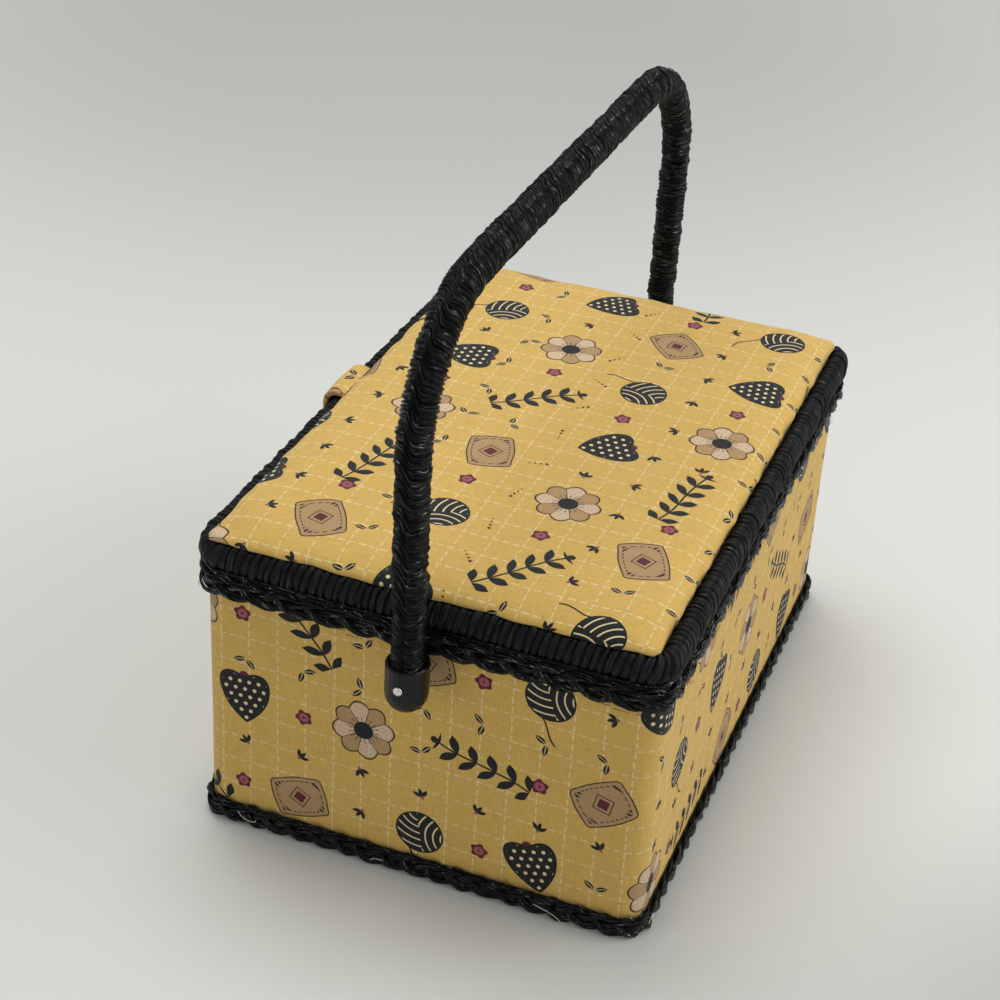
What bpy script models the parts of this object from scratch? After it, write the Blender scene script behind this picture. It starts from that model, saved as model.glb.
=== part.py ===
# Fabric covered sewing basket with a padded hinged lid, a swinging wound handle,
# a closing strap and a lift-out tray. Metres, Z up, origin on the table under the middle.
# X runs along the basket, the hinge is on the +Y side and the strap on the -Y side.

import math

import bmesh
import bpy
from mathutils import Matrix, Vector

# Clearances
fit_gap = 0.0003
pivot_clearance = 0.0003
lid_gap = 0.0006
cut_overrun = 0.002

# Body
body_length = 0.3030
body_width = 0.2090
wall_height = 0.1364
body_corner_radius = 0.0105
cover_thickness = 0.0010
board_thickness = 0.0030
lining_thickness = 0.0010
base_thickness = 0.0040
corner_facets = 6

# Braids round the base and the rim
base_braid_height = 0.0105
base_braid_thickness = 0.0034
rim_braid_height = 0.0132
rim_braid_thickness = 0.0044
rim_braid_drop = 0.0004
braid_facets = 3

# Lid
lid_overhang = 0.0042
trim_width = 0.0098
trim_height = 0.0130
trim_rounding = 0.0045
trim_facets = 4
lid_board_thickness = 0.0030
pad_end_reach = 0.0060
pad_front_reach = 0.0014
pad_back_reach = 0.0008
pad_seat_facets = 3
pad_rise = 0.0068
pad_crown = 0.0006
pad_roll = 0.0120
pad_roll_facets = 6
pad_corner_growth_share = 0.25
pad_crown_facets = 4
pad_middle_share = 0.95
pad_corner_limit_share = 0.45

# Hinge along the back edge
hinge_outset = 0.0040
hinge_cord_radius = 0.0012
hinge_cord_waist = 0.0010
hinge_cord_pitch = 0.0020
hinge_cord_turns = 9
hinge_cord_spacing = 0.1700
hinge_cord_facets = 8

# Handle
handle_rise = 0.1630
handle_bend_radius = 0.0594
handle_spread = 0.0017
core_radius = 0.0045
leg_wrap_radius = 0.0070
bar_wrap_radius = 0.0077
wrap_groove_depth = 0.0006
wrap_turns = 150
handle_facets = 8
bend_facets = 9

# Sockets at the handle's ends, and their rivets
socket_radius = 0.0094
socket_rise = 0.0090
socket_drop = 0.0150
socket_tip_radius = 0.0006
socket_rim_rounding = 0.0006
socket_standoff = 0.0031
wrap_insertion = 0.0050
wrap_seat_clearance = 0.0009
core_seat_floor = 0.0025
socket_facets = 24
dome_facets = 5
boss_wall = 0.0015
boss_clearance = 0.0005
rivet_radius = 0.00125
rivet_head_radius = 0.0021
rivet_head_height = 0.0011
rivet_tail_radius = 0.0024
rivet_tail_height = 0.0012
rivet_facets = 16
washer_radius = 0.0050
washer_thickness = 0.0010

# Tray and the ledges it rests on
tray_height = 0.0300
tray_top_clearance = 0.0030
tray_side_clearance = 0.0014
tray_wall = 0.0018
tray_floor = 0.0018
tray_lip_width = 0.0012
tray_lip_height = 0.0022
pocket_corner_radius = 0.0060
pocket_facets = 4
back_row_width = 0.1180
finger_notch_radius = 0.0110
finger_notch_depth = 0.0070
front_divider_shares = (0.25, 0.50, 0.75)
back_divider_shares = (0.38,)
ledge_depth = 0.0070
ledge_height = 0.0060
ledge_length = 0.1500
ledge_bevel = 0.0010

# Pincushion under the lid
pincushion_length = 0.0900
pincushion_width = 0.0560
pincushion_depth = 0.0090
pincushion_facets = 6
pincushion_rows = 5
pincushion_pinch = 0.0015
pincushion_setback = 0.0100
pincushion_rounding_share = 0.95

# Closing strap
strap_width = 0.0310
strap_thickness = 0.0022
strap_bulge = 0.0024
strap_axis_drop = 0.0062
strap_inner_angle = math.radians(66)
strap_edge_share = 0.45
strap_facets = 5
flap_length = 0.0500
flap_corner_radius = 0.0090
flap_corner_facets = 4
magnet_radius = 0.0075
magnet_thickness = 0.0009
magnet_lift = 0.0135
catch_plate_radius = 0.0085
catch_plate_thickness = 0.0012
catch_boss_radius = 0.0058
magnet_facets = 24

# Places worked out from the sizes
half_length = body_length / 2
half_width = body_width / 2
wall_thickness = cover_thickness + board_thickness + lining_thickness + 2 * fit_gap
board_inset = cover_thickness + fit_gap
lining_inset = board_inset + board_thickness + fit_gap
board_base = base_thickness + fit_gap
board_top = wall_height - cover_thickness - fit_gap
rim_braid_top = wall_height - rim_braid_drop
rim_braid_base = rim_braid_top - rim_braid_height
rim_reach = fit_gap + rim_braid_thickness

trim_base = wall_height + lid_gap
trim_top = trim_base + trim_height
trim_inset = lid_overhang - trim_width
lid_lining_top = trim_base + lining_thickness
lid_board_base = lid_lining_top + fit_gap
pad_base = lid_board_base + lid_board_thickness + fit_gap
pad_edge = trim_top + fit_gap
hinge_y = half_width + hinge_outset
hinge_z = wall_height + lid_gap / 2
hinge_point = Vector((0, hinge_y, hinge_z))

hole_radius = rivet_radius + pivot_clearance
boss_radius = hole_radius + boss_wall
pivot_height = rim_braid_base - boss_clearance - boss_radius
pivot_point = Vector((0, 0, pivot_height))
leg_x = half_length + rim_reach + socket_standoff + socket_radius
bar_height = pivot_height + handle_rise
socket_top = pivot_height + socket_rise
socket_base = pivot_height - socket_drop
wrap_base = socket_top - wrap_insertion
core_base = socket_base + core_seat_floor

tray_top = pivot_height - washer_radius - tray_top_clearance
tray_base = tray_top - tray_height
tray_half_length = half_length - wall_thickness - tray_side_clearance
tray_half_width = half_width - wall_thickness - tray_side_clearance

strap_gap = max(lid_overhang, rim_reach) - lid_overhang + fit_gap
flap_inner_y = -(half_width + lid_overhang + strap_gap)
strap_axis_z = trim_top - strap_axis_drop
strap_axis_y = flap_inner_y - strap_thickness / 2
strap_point = Vector((0, strap_axis_y, strap_axis_z))
flap_base = strap_axis_z - flap_length
magnet_z = flap_base + magnet_lift


def clear_scene():
    for item in list(bpy.data.objects):
        bpy.data.objects.remove(item, do_unlink=True)


def make_material(name, colour, roughness, metallic=0.0):
    material = bpy.data.materials.new(name)
    material.use_nodes = True
    shader = material.node_tree.nodes["Principled BSDF"]
    shader.inputs["Base Color"].default_value = (*colour, 1.0)
    shader.inputs["Roughness"].default_value = roughness
    shader.inputs["Metallic"].default_value = metallic
    return material


def add_axis(name, place, parent=None):
    axis = bpy.data.objects.new(name, None)
    bpy.context.scene.collection.objects.link(axis)
    axis.parent = parent
    axis.location = place - (world_place(parent) if parent else Vector())
    return axis


def world_place(item):
    place = item.location.copy()
    while item.parent:
        item = item.parent
        place += item.location
    return place


# Meshes are drawn in world places and then moved to the piece's own origin.
def add_piece(name, mesh, material, axis=None, smooth_angle=math.radians(40)):
    mesh.name = name
    mesh.materials.append(material)
    mesh.shade_smooth()
    mesh.set_sharp_from_angle(angle=smooth_angle)
    piece = bpy.data.objects.new(name, mesh)
    bpy.context.scene.collection.objects.link(piece)
    if axis:
        piece.parent = axis
        mesh.transform(Matrix.Translation(-world_place(axis)))
    return piece


def cut_with(piece, name, mesh, operation="DIFFERENCE"):
    cutter = bpy.data.objects.new(name, mesh)
    bpy.context.scene.collection.objects.link(cutter)
    cutter.hide_render = True
    cutter.display_type = "WIRE"
    step = piece.modifiers.new(name, "BOOLEAN")
    step.operation = operation
    step.solver = "EXACT"
    step.object = cutter
    return cutter


def mesh_from_rings(rings, join_ends=False):
    work = bmesh.new()
    loops = [[work.verts.new(point) for point in ring] for ring in rings]
    pairs = list(zip(loops, loops[1:]))
    if join_ends:
        pairs.append((loops[-1], loops[0]))
    for lower, upper in pairs:
        for here in range(len(lower)):
            after = (here + 1) % len(lower)
            work.faces.new((lower[here], lower[after], upper[after], upper[here]))
    if not join_ends:
        work.faces.new(list(reversed(loops[0])))
        work.faces.new(loops[-1])
    bmesh.ops.recalc_face_normals(work, faces=work.faces)
    mesh = bpy.data.meshes.new("shape")
    work.to_mesh(mesh)
    work.free()
    return mesh


def join_meshes(meshes):
    work = bmesh.new()
    for mesh in meshes:
        work.from_mesh(mesh)
    joined = bpy.data.meshes.new("shapes")
    work.to_mesh(joined)
    work.free()
    return joined


# A rounded rectangle, anticlockwise from the +X side.
def rounded_outline(half_x, half_y, radius, facets):
    points = []
    for corner, (side_x, side_y) in enumerate(((1, 1), (-1, 1), (-1, -1), (1, -1))):
        for step in range(facets + 1):
            angle = math.pi / 2 * (corner + step / facets)
            points.append((side_x * (half_x - radius) + radius * math.cos(angle),
                           side_y * (half_y - radius) + radius * math.sin(angle)))
    return points


# The outline of the body's outer face, moved out by an offset, at one height.
def body_ring(offset, height):
    outline = rounded_outline(half_length + offset, half_width + offset,
                              body_corner_radius + offset, corner_facets)
    return [Vector((x, y, height)) for x, y in outline]


def swept_round_body(section):
    return mesh_from_rings([body_ring(offset, height) for offset, height in section], join_ends=True)


def rounded_section(inner, outer, low, high, radius, facets):
    middle = (inner + outer) / 2
    centre = (low + high) / 2
    outline = rounded_outline((outer - inner) / 2, (high - low) / 2, radius, facets)
    return [(middle + x, centre + z) for x, z in outline]


def slab(offset, low, high):
    return mesh_from_rings([body_ring(offset, low), body_ring(offset, high)])


def box_mesh(low, high):
    corners = ((low[0], low[1]), (high[0], low[1]), (high[0], high[1]), (low[0], high[1]))
    return mesh_from_rings([[Vector((x, y, z)) for x, y in corners] for z in (low[2], high[2])])


# A turned shape. Its profile holds (radius, distance along the axis).
def turned_mesh(profile, centre, along, facets, hollow=False):
    rings = []
    for radius, distance in profile:
        ring = []
        for step in range(facets):
            angle = 2 * math.pi * step / facets
            across = (radius * math.cos(angle), radius * math.sin(angle))
            if along == "X":
                ring.append(centre + Vector((distance, *across)))
            elif along == "Y":
                ring.append(centre + Vector((across[0], distance, across[1])))
            else:
                ring.append(centre + Vector((*across, distance)))
        rings.append(ring)
    return mesh_from_rings(rings, join_ends=hollow)


def pivot_hole(start, end):
    return turned_mesh([(hole_radius, start), (hole_radius, end)], pivot_point, "X", socket_facets)


# Base, boards, cover and lining

def make_base_board():
    return add_piece("base_board", slab(-board_inset, 0, base_thickness), board_material)


# The long boards turn the corners, and the end boards stand between them.
def make_long_board(name, side):
    board_radius = body_corner_radius - board_inset
    outer_x = half_length - board_inset
    outer_y = half_width - board_inset
    plan = []
    for shrink, order in ((0, 1), (board_thickness, -1)):
        edge = []
        for turn in (1, -1):
            arc = []
            for step in range(corner_facets + 1):
                angle = math.pi / 2 * step / corner_facets
                reach = board_radius - shrink
                arc.append((turn * (outer_x - board_radius + reach * math.cos(angle)),
                            side * (outer_y - board_radius + reach * math.sin(angle))))
            edge += arc if turn == 1 else arc[::-1]
        plan += edge[::order]
    rings = [[Vector((x, y, height)) for x, y in plan] for height in (board_base, board_top)]
    return add_piece(name, mesh_from_rings(rings), board_material)


def make_end_board(name, side):
    outer_x = half_length - board_inset
    reach_y = half_width - body_corner_radius - fit_gap
    faces = sorted((side * (outer_x - board_thickness), side * outer_x))
    shape = box_mesh((faces[0], -reach_y, board_base), (faces[1], reach_y, board_top))
    board = add_piece(name, shape, board_material)
    cut_with(board, name + "_hole", pivot_hole(faces[0] - cut_overrun, faces[1] + cut_overrun))
    return board


def make_outer_cover():
    fold = wall_thickness
    section = [(0, fit_gap), (0, wall_height - cover_thickness),
               (-cover_thickness, wall_height), (-fold, wall_height),
               (-fold, wall_height - cover_thickness), (-cover_thickness, wall_height - cover_thickness),
               (-cover_thickness, fit_gap)]
    cover = add_piece("outer_cover", swept_round_body(section), print_material)
    reach = half_length + cut_overrun
    cut_with(cover, "cover_hole", pivot_hole(-reach, reach))
    return cover


def make_inner_lining():
    floor = board_base + lining_thickness
    rings = [body_ring(-lining_inset, board_base), body_ring(-lining_inset, board_top),
             body_ring(-wall_thickness, board_top), body_ring(-wall_thickness, floor)]
    lining = add_piece("inner_lining", mesh_from_rings(rings), lining_material)
    reach = half_length + cut_overrun
    cut_with(lining, "lining_hole", pivot_hole(-reach, reach))
    return lining


# Braids

def make_base_braid():
    section = rounded_section(fit_gap, fit_gap + base_braid_thickness, 0, base_braid_height,
                              base_braid_thickness / 2, braid_facets)
    return add_piece("base_braid", swept_round_body(section), cord_material)


# The rim braid is notched where the hinge cords lie in it.
def make_rim_braid():
    section = rounded_section(fit_gap, rim_reach, rim_braid_base, rim_braid_top,
                              rim_braid_thickness / 2, braid_facets)
    braid = add_piece("rim_braid", swept_round_body(section), cord_material)
    reach = hinge_cord_pitch * hinge_cord_turns / 2 + fit_gap
    radius = hinge_cord_radius + fit_gap
    notches = []
    for side in (-1, 1):
        middle = side * hinge_cord_spacing / 2
        notches.append(turned_mesh([(radius, middle - reach), (radius, middle + reach)],
                                   hinge_point, "X", rivet_facets))
    cut_with(braid, "rim_braid_notches", join_meshes(notches))
    return braid


# Turns of cord lie along the hinge line and tie the lid's trim to the rim.
def make_hinge_cord(name, side):
    start = side * hinge_cord_spacing / 2 - hinge_cord_pitch * hinge_cord_turns / 2
    profile = []
    for turn in range(hinge_cord_turns):
        profile.append((hinge_cord_waist, start + hinge_cord_pitch * turn))
        profile.append((hinge_cord_radius, start + hinge_cord_pitch * (turn + 1 / 2)))
    profile.append((hinge_cord_waist, start + hinge_cord_pitch * hinge_cord_turns))
    return add_piece(name, turned_mesh(profile, hinge_point, "X", hinge_cord_facets), cord_material)


# Lid

def make_lid_trim(axis):
    section = rounded_section(trim_inset, lid_overhang, trim_base, trim_top, trim_rounding, trim_facets)
    return add_piece("lid_trim", swept_round_body(section), cord_material, axis)


def make_lid_board(axis):
    shape = slab(trim_inset - fit_gap, lid_board_base, lid_board_base + lid_board_thickness)
    return add_piece("lid_board", shape, board_material, axis)


def make_lid_lining(axis):
    shape = slab(trim_inset - fit_gap, trim_base, lid_lining_top)
    return add_piece("lid_lining", shape, lining_material, axis)


# The pad fills the trim, bulges out over it, rolls up from its edge and is slightly crowned.
# Its reach is how far a ring may stand out over the trim.
def pad_ring(inset, height, reach):
    end = min(reach, pad_end_reach)
    front = min(reach, pad_front_reach)
    back = min(reach, pad_back_reach)
    half_x = half_length + trim_inset - fit_gap + end - inset
    half_y = half_width + trim_inset - fit_gap + (front + back) / 2 - inset
    corner = body_corner_radius + trim_inset - fit_gap + min(end, front, back)
    corner = min(corner + pad_corner_growth_share * inset, pad_corner_limit_share * half_y)
    place = Vector((0, (back - front) / 2, height))
    return [place + Vector((x, y, 0)) for x, y in rounded_outline(half_x, half_y, corner, corner_facets)]


def make_lid_pad(axis):
    rings = [pad_ring(0, pad_base, 0)]
    shoulder_z = trim_top - trim_rounding
    for step in range(pad_seat_facets + 1):
        angle = math.pi / 2 * step / pad_seat_facets
        reach = (trim_rounding + fit_gap) * (1 - math.cos(angle))
        rings.append(pad_ring(0, shoulder_z + (trim_rounding + fit_gap) * math.sin(angle), reach))
    for step in range(pad_roll_facets + 1):
        angle = math.pi / 2 * step / pad_roll_facets
        rings.append(pad_ring(pad_roll * (1 - math.cos(angle)), pad_edge + pad_rise * math.sin(angle),
                              pad_end_reach))
    middle = pad_middle_share * (half_width + trim_inset)
    for step in range(1, pad_crown_facets + 1):
        share = step / pad_crown_facets
        rings.append(pad_ring(pad_roll + (middle - pad_roll) * share,
                              pad_edge + pad_rise + pad_crown * math.sin(math.pi / 2 * share), pad_end_reach))
    return add_piece("lid_pad", mesh_from_rings(rings), print_material, axis)


# The pincushion is sewn flat to the lining and swells below it.
def make_pincushion(axis):
    rings = []
    top = trim_base - fit_gap
    place = Vector((0, pincushion_setback, 0))
    for step in range(pincushion_rows + 1):
        angle = math.pi / 2 * step / pincushion_rows
        inset = pincushion_pinch * math.cos(angle) ** 2
        inset += (pincushion_width / 2) * (1 - math.cos(angle)) ** 2 * pincushion_rounding_share
        half_y = pincushion_width / 2 - inset
        outline = rounded_outline(pincushion_length / 2 - inset, half_y,
                                  half_y * pincushion_rounding_share, pincushion_facets)
        height = top - pincushion_depth * math.sin(angle)
        rings.append([place + Vector((x, y, height)) for x, y in outline])
    return add_piece("pincushion", mesh_from_rings(rings), pincushion_material, axis)


# Handle

def straight(start, end):
    span = end - start
    return span.length, lambda along: (start + span * (along / span.length), span.normalized())


def bend(centre, radius, first, last):
    length = abs(last - first) * radius
    turn = 1 if last > first else -1

    def place(along):
        angle = first + (last - first) * along / length
        outward = Vector((math.cos(angle), 0, math.sin(angle)))
        forward = Vector((-math.sin(angle), 0, math.cos(angle))) * turn
        return centre + outward * radius, forward

    return length, place


# The middle line of the handle, from the right leg's foot over the bar to the left foot.
def handle_stretches(foot):
    lean = math.atan2(handle_spread, bar_height - handle_bend_radius - socket_top)
    centre_x = leg_x + handle_spread - handle_bend_radius * math.cos(lean)
    centre_z = bar_height - handle_bend_radius
    bend_foot_x = leg_x + handle_spread
    bend_foot_z = centre_z - handle_bend_radius * math.sin(lean)
    stretches = [straight(Vector((leg_x, 0, foot)), Vector((leg_x, 0, socket_top))),
                 straight(Vector((leg_x, 0, socket_top)), Vector((bend_foot_x, 0, bend_foot_z))),
                 bend(Vector((centre_x, 0, centre_z)), handle_bend_radius, -lean, math.pi / 2),
                 straight(Vector((centre_x, 0, bar_height)), Vector((-centre_x, 0, bar_height))),
                 bend(Vector((-centre_x, 0, centre_z)), handle_bend_radius, math.pi / 2, math.pi + lean),
                 straight(Vector((-bend_foot_x, 0, bend_foot_z)), Vector((-leg_x, 0, socket_top))),
                 straight(Vector((-leg_x, 0, socket_top)), Vector((-leg_x, 0, foot)))]
    return stretches


def place_on(stretches, along):
    for length, place in stretches[:-1]:
        if along <= length:
            return place(along)
        along -= length
    length, place = stretches[-1]
    return place(min(along, length))


# Rings stand at the ends of straight runs and at even steps round the bends.
def core_stations(stretches):
    bend_numbers = (2, 4)
    stations = [0]
    for number, (length, place) in enumerate(stretches):
        steps = bend_facets if number in bend_numbers else 1
        start = stations[-1]
        stations += [start + length * (step + 1) / steps for step in range(steps)]
    return stations


def handle_ring(stretches, along, radius):
    centre, forward = place_on(stretches, along)
    across = Vector((0, 1, 0))
    outward = across.cross(forward)
    ring = []
    for step in range(handle_facets):
        angle = 2 * math.pi * (step + 1 / 2) / handle_facets
        ring.append(centre + radius * (math.cos(angle) * outward + math.sin(angle) * across))
    return ring


def make_handle_core(axis):
    stretches = handle_stretches(core_base)
    rings = [handle_ring(stretches, along, core_radius) for along in core_stations(stretches)]
    core = add_piece("handle_core", mesh_from_rings(rings), core_material, axis)
    reach = leg_x + socket_radius
    cut_with(core, "core_hole", pivot_hole(-reach, reach))
    return core


def wrap_radius(stretches, along):
    centre, forward = place_on(stretches, along)
    share = (centre.z - socket_top) / (bar_height - socket_top)
    share = min(max(share, 0), 1)
    return leg_wrap_radius + (bar_wrap_radius - leg_wrap_radius) * share


# The winding is a tube with a groove between each turn and the next.
def make_handle_wrap(axis):
    stretches = handle_stretches(wrap_base)
    bore = core_radius + fit_gap
    total = sum(length for length, place in stretches)
    pitch = total / wrap_turns
    rings = []
    for turn in range(wrap_turns):
        for share, depth in ((0, wrap_groove_depth), (1 / 2, 0)):
            along = pitch * (turn + share)
            rings.append(handle_ring(stretches, along, wrap_radius(stretches, along) - depth))
    rings.append(handle_ring(stretches, total, leg_wrap_radius - wrap_groove_depth))
    rings += [handle_ring(stretches, along, bore) for along in reversed(core_stations(stretches))]
    return add_piece("handle_wrap", mesh_from_rings(rings, join_ends=True), cord_material, axis,
                     math.radians(70))


# A round-bottomed socket with a stepped bore: the winding seats in the wide part, the
# core goes down to the floor, and a boss holds the socket off the wall.
def make_socket(name, side, axis):
    centre = Vector((side * leg_x, 0, 0))
    outer = []
    for step in range(dome_facets + 1):
        angle = math.pi / 2 * step / dome_facets
        radius = max(socket_radius * math.sin(angle), socket_tip_radius)
        outer.append((radius, socket_base + socket_radius * (1 - math.cos(angle))))
    wide_bore = leg_wrap_radius + wrap_seat_clearance
    narrow_bore = core_radius + fit_gap
    seat = wrap_base - fit_gap
    outer += [(socket_radius, socket_top - socket_rim_rounding),
              (socket_radius - socket_rim_rounding, socket_top),
              (wide_bore + socket_rim_rounding, socket_top),
              (wide_bore, socket_top - socket_rim_rounding),
              (wide_bore, seat), (narrow_bore, seat), (narrow_bore, core_base - fit_gap)]
    socket = add_piece(name, turned_mesh(outer, centre, "Z", socket_facets), socket_material, axis)
    wall_side = half_length + fit_gap
    boss_end = leg_x - narrow_bore - boss_wall / 2
    boss = [(boss_radius, side * wall_side), (boss_radius, side * boss_end)]
    cut_with(socket, name + "_boss", turned_mesh(boss, pivot_point, "X", socket_facets), "UNION")
    reach = leg_x + socket_radius + cut_overrun
    faces = sorted((side * (half_length - cut_overrun), side * reach))
    cut_with(socket, name + "_hole", pivot_hole(*faces))
    return socket


# Each rivet goes through the socket, the core and the wall, and is clenched on a washer.
def make_rivet(name, side):
    seat = leg_x + socket_radius + fit_gap
    tail = half_length - wall_thickness - fit_gap - washer_thickness - fit_gap
    profile = [(rivet_tail_radius / 2, tail - rivet_tail_height),
               (rivet_tail_radius, tail - rivet_tail_height / 2), (rivet_tail_radius, tail),
               (rivet_radius, tail), (rivet_radius, seat), (rivet_head_radius, seat)]
    for step in range(1, dome_facets):
        angle = math.pi / 2 * step / dome_facets
        profile.append((rivet_head_radius * math.cos(angle), seat + rivet_head_height * math.sin(angle)))
    profile = [(radius, side * distance) for radius, distance in profile]
    return add_piece(name, turned_mesh(profile, pivot_point, "X", rivet_facets), rivet_material)


def make_washer(name, side):
    outer_face = half_length - wall_thickness - fit_gap
    inner_face = outer_face - washer_thickness
    profile = [(hole_radius, side * inner_face), (washer_radius, side * inner_face),
               (washer_radius, side * outer_face), (hole_radius, side * outer_face)]
    shape = turned_mesh(profile, pivot_point, "X", socket_facets, hollow=True)
    return add_piece(name, shape, rivet_material)


# Tray and ledges

def pocket_mesh(low_x, high_x, low_y, high_y):
    middle = Vector(((low_x + high_x) / 2, (low_y + high_y) / 2, 0))
    outline = rounded_outline((high_x - low_x) / 2, (high_y - low_y) / 2, pocket_corner_radius, pocket_facets)
    rings = [[middle + Vector((x, y, height)) for x, y in outline]
             for height in (tray_base + tray_floor, tray_top + cut_overrun)]
    return mesh_from_rings(rings)


# Pockets in one row, between the tray's end walls and its dividers.
def row_of_pockets(shares, low_y, high_y):
    inner = tray_half_length - tray_lip_width - tray_wall
    edges = [-inner - tray_wall / 2] + [inner * (2 * share - 1) for share in shares]
    edges.append(inner + tray_wall / 2)
    pockets = []
    for left, right in zip(edges, edges[1:]):
        pockets.append(pocket_mesh(left + tray_wall / 2, right - tray_wall / 2, low_y, high_y))
    return pockets


def make_tray():
    body_x = tray_half_length - tray_lip_width
    body_y = tray_half_width - tray_lip_width
    corner = pocket_corner_radius + tray_wall
    lip_base = tray_top - tray_lip_height
    rings = []
    for half_x, half_y, radius, height in (
            (body_x, body_y, corner, tray_base), (body_x, body_y, corner, lip_base),
            (tray_half_length, tray_half_width, corner + tray_lip_width, lip_base),
            (tray_half_length, tray_half_width, corner + tray_lip_width, tray_top)):
        outline = rounded_outline(half_x, half_y, radius, pocket_facets)
        rings.append([Vector((x, y, height)) for x, y in outline])
    tray = add_piece("tray", mesh_from_rings(rings), tray_material)
    inner_y = body_y - tray_wall
    split = inner_y - back_row_width
    pockets = row_of_pockets(front_divider_shares, -inner_y, split - tray_wall)
    pockets += row_of_pockets(back_divider_shares, split, inner_y)
    cut_with(tray, "tray_pockets", join_meshes(pockets))
    reach = tray_half_width + cut_overrun
    notch_centre = Vector((0, 0, tray_top + finger_notch_radius - finger_notch_depth))
    notch = [(finger_notch_radius, body_y - tray_wall - cut_overrun / 2), (finger_notch_radius, reach)]
    other = [(radius, -distance) for radius, distance in notch]
    cut_with(tray, "tray_notches", join_meshes([turned_mesh(side, notch_centre, "Y", socket_facets)
                                                for side in (notch, other)]))
    return tray


def make_ledge(name, side):
    outer_x = half_length - wall_thickness - fit_gap
    faces = sorted((side * (outer_x - ledge_depth), side * outer_x))
    top = tray_base - fit_gap
    shape = box_mesh((faces[0], -ledge_length / 2, top - ledge_height), (faces[1], ledge_length / 2, top))
    ledge = add_piece(name, shape, board_material)
    edge = ledge.modifiers.new("eased_edges", "BEVEL")
    edge.width = ledge_bevel
    edge.segments = 1
    return ledge


# Closing strap: an arch over the trim, a flap that hangs from it, and its snap

def make_strap_arch(axis):
    inner_reach = trim_rounding + strap_gap
    shoulder_z = trim_top - trim_rounding
    inner_y = -(half_width + trim_inset + trim_rounding)
    outer_y = -(half_width + lid_overhang - trim_rounding)
    places = []
    for step in range(strap_facets + 1):
        angle = strap_inner_angle + (math.pi / 2 - strap_inner_angle) * step / strap_facets
        places.append((inner_y, shoulder_z, angle))
    for step in range(strap_facets + 1):
        places.append((outer_y, shoulder_z, math.pi / 2 * (1 + step / strap_facets)))
    end_z = strap_axis_z + strap_thickness / 2 + fit_gap
    places.append((outer_y, end_z, math.pi))
    inner_edge = []
    outer_edge = []
    for number, (y, z, angle) in enumerate(places):
        swell = strap_bulge * math.sin(math.pi * number / (len(places) - 1))
        heading = Vector((0, math.cos(angle), math.sin(angle)))
        inner_edge.append(Vector((0, y, z)) + inner_reach * heading)
        outer_edge.append(Vector((0, y, z)) + (inner_reach + strap_thickness + swell) * heading)
    outline = inner_edge + outer_edge[::-1]
    rings = [[point + Vector((side * strap_width / 2, 0, 0)) for point in outline] for side in (-1, 1)]
    return add_piece("strap_arch", mesh_from_rings(rings), print_material, axis)


def make_strap_flap(axis):
    half = strap_width / 2
    outline = [(-half, strap_axis_z + strap_thickness / 2)]
    for side in (-1, 1):
        arc = []
        for step in range(flap_corner_facets + 1):
            angle = math.pi / 2 * step / flap_corner_facets
            arc.append((side * (half - flap_corner_radius * (1 - math.cos(angle))),
                        flap_base + flap_corner_radius * (1 - math.sin(angle))))
        outline += arc if side == -1 else arc[::-1]
    outline.append((half, strap_axis_z + strap_thickness / 2))
    rings = [[Vector((x, y, z)) for x, z in outline]
             for y in (flap_inner_y - strap_thickness, flap_inner_y)]
    work = bmesh.new()
    work.from_mesh(mesh_from_rings(rings))
    top = strap_axis_z + strap_thickness / 2 - fit_gap / 2
    edges = [edge for edge in work.edges if all(vert.co.z > top for vert in edge.verts)
             and abs(edge.verts[0].co.x - edge.verts[1].co.x) > half]
    bmesh.ops.bevel(work, geom=edges, offset=strap_thickness * strap_edge_share,
                    segments=braid_facets, profile=0.5, affect="EDGES")
    mesh = bpy.data.meshes.new("shape")
    work.to_mesh(mesh)
    work.free()
    flap = add_piece("strap_flap", mesh, print_material, axis)
    pocket = [(magnet_radius + fit_gap, flap_inner_y - magnet_thickness - fit_gap),
              (magnet_radius + fit_gap, flap_inner_y + cut_overrun)]
    centre = Vector((0, 0, magnet_z))
    cut_with(flap, "strap_pocket", turned_mesh(pocket, centre, "Y", magnet_facets))
    return flap


def make_strap_magnet(axis):
    profile = [(magnet_radius, flap_inner_y - magnet_thickness), (magnet_radius, flap_inner_y)]
    shape = turned_mesh(profile, Vector((0, 0, magnet_z)), "Y", magnet_facets)
    return add_piece("strap_magnet", shape, magnet_material, axis)


def make_catch_magnet():
    plate_back = -(half_width + fit_gap)
    plate_front = plate_back - catch_plate_thickness
    face = flap_inner_y + fit_gap
    profile = [(catch_plate_radius, plate_back), (catch_plate_radius, plate_front),
               (catch_boss_radius, plate_front), (catch_boss_radius, face)]
    shape = turned_mesh(profile, Vector((0, 0, magnet_z)), "Y", magnet_facets)
    return add_piece("catch_magnet", shape, magnet_material)


clear_scene()

print_material = make_material("printed_cotton", (0.72, 0.42, 0.085), 0.85)
cord_material = make_material("black_paper_cord", (0.012, 0.013, 0.012), 0.42)
board_material = make_material("grey_board", (0.36, 0.31, 0.24), 0.90)
lining_material = make_material("lining_cloth", (0.66, 0.52, 0.27), 0.88)
core_material = make_material("rattan_core", (0.42, 0.29, 0.14), 0.70)
socket_material = make_material("black_plastic", (0.020, 0.021, 0.022), 0.36)
rivet_material = make_material("nickel_steel", (0.72, 0.72, 0.70), 0.25, 1.0)
magnet_material = make_material("snap_steel", (0.62, 0.60, 0.56), 0.32, 1.0)
tray_material = make_material("milky_plastic", (0.80, 0.78, 0.72), 0.38)
pincushion_material = make_material("pincushion_felt", (0.36, 0.030, 0.040), 0.90)

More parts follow.
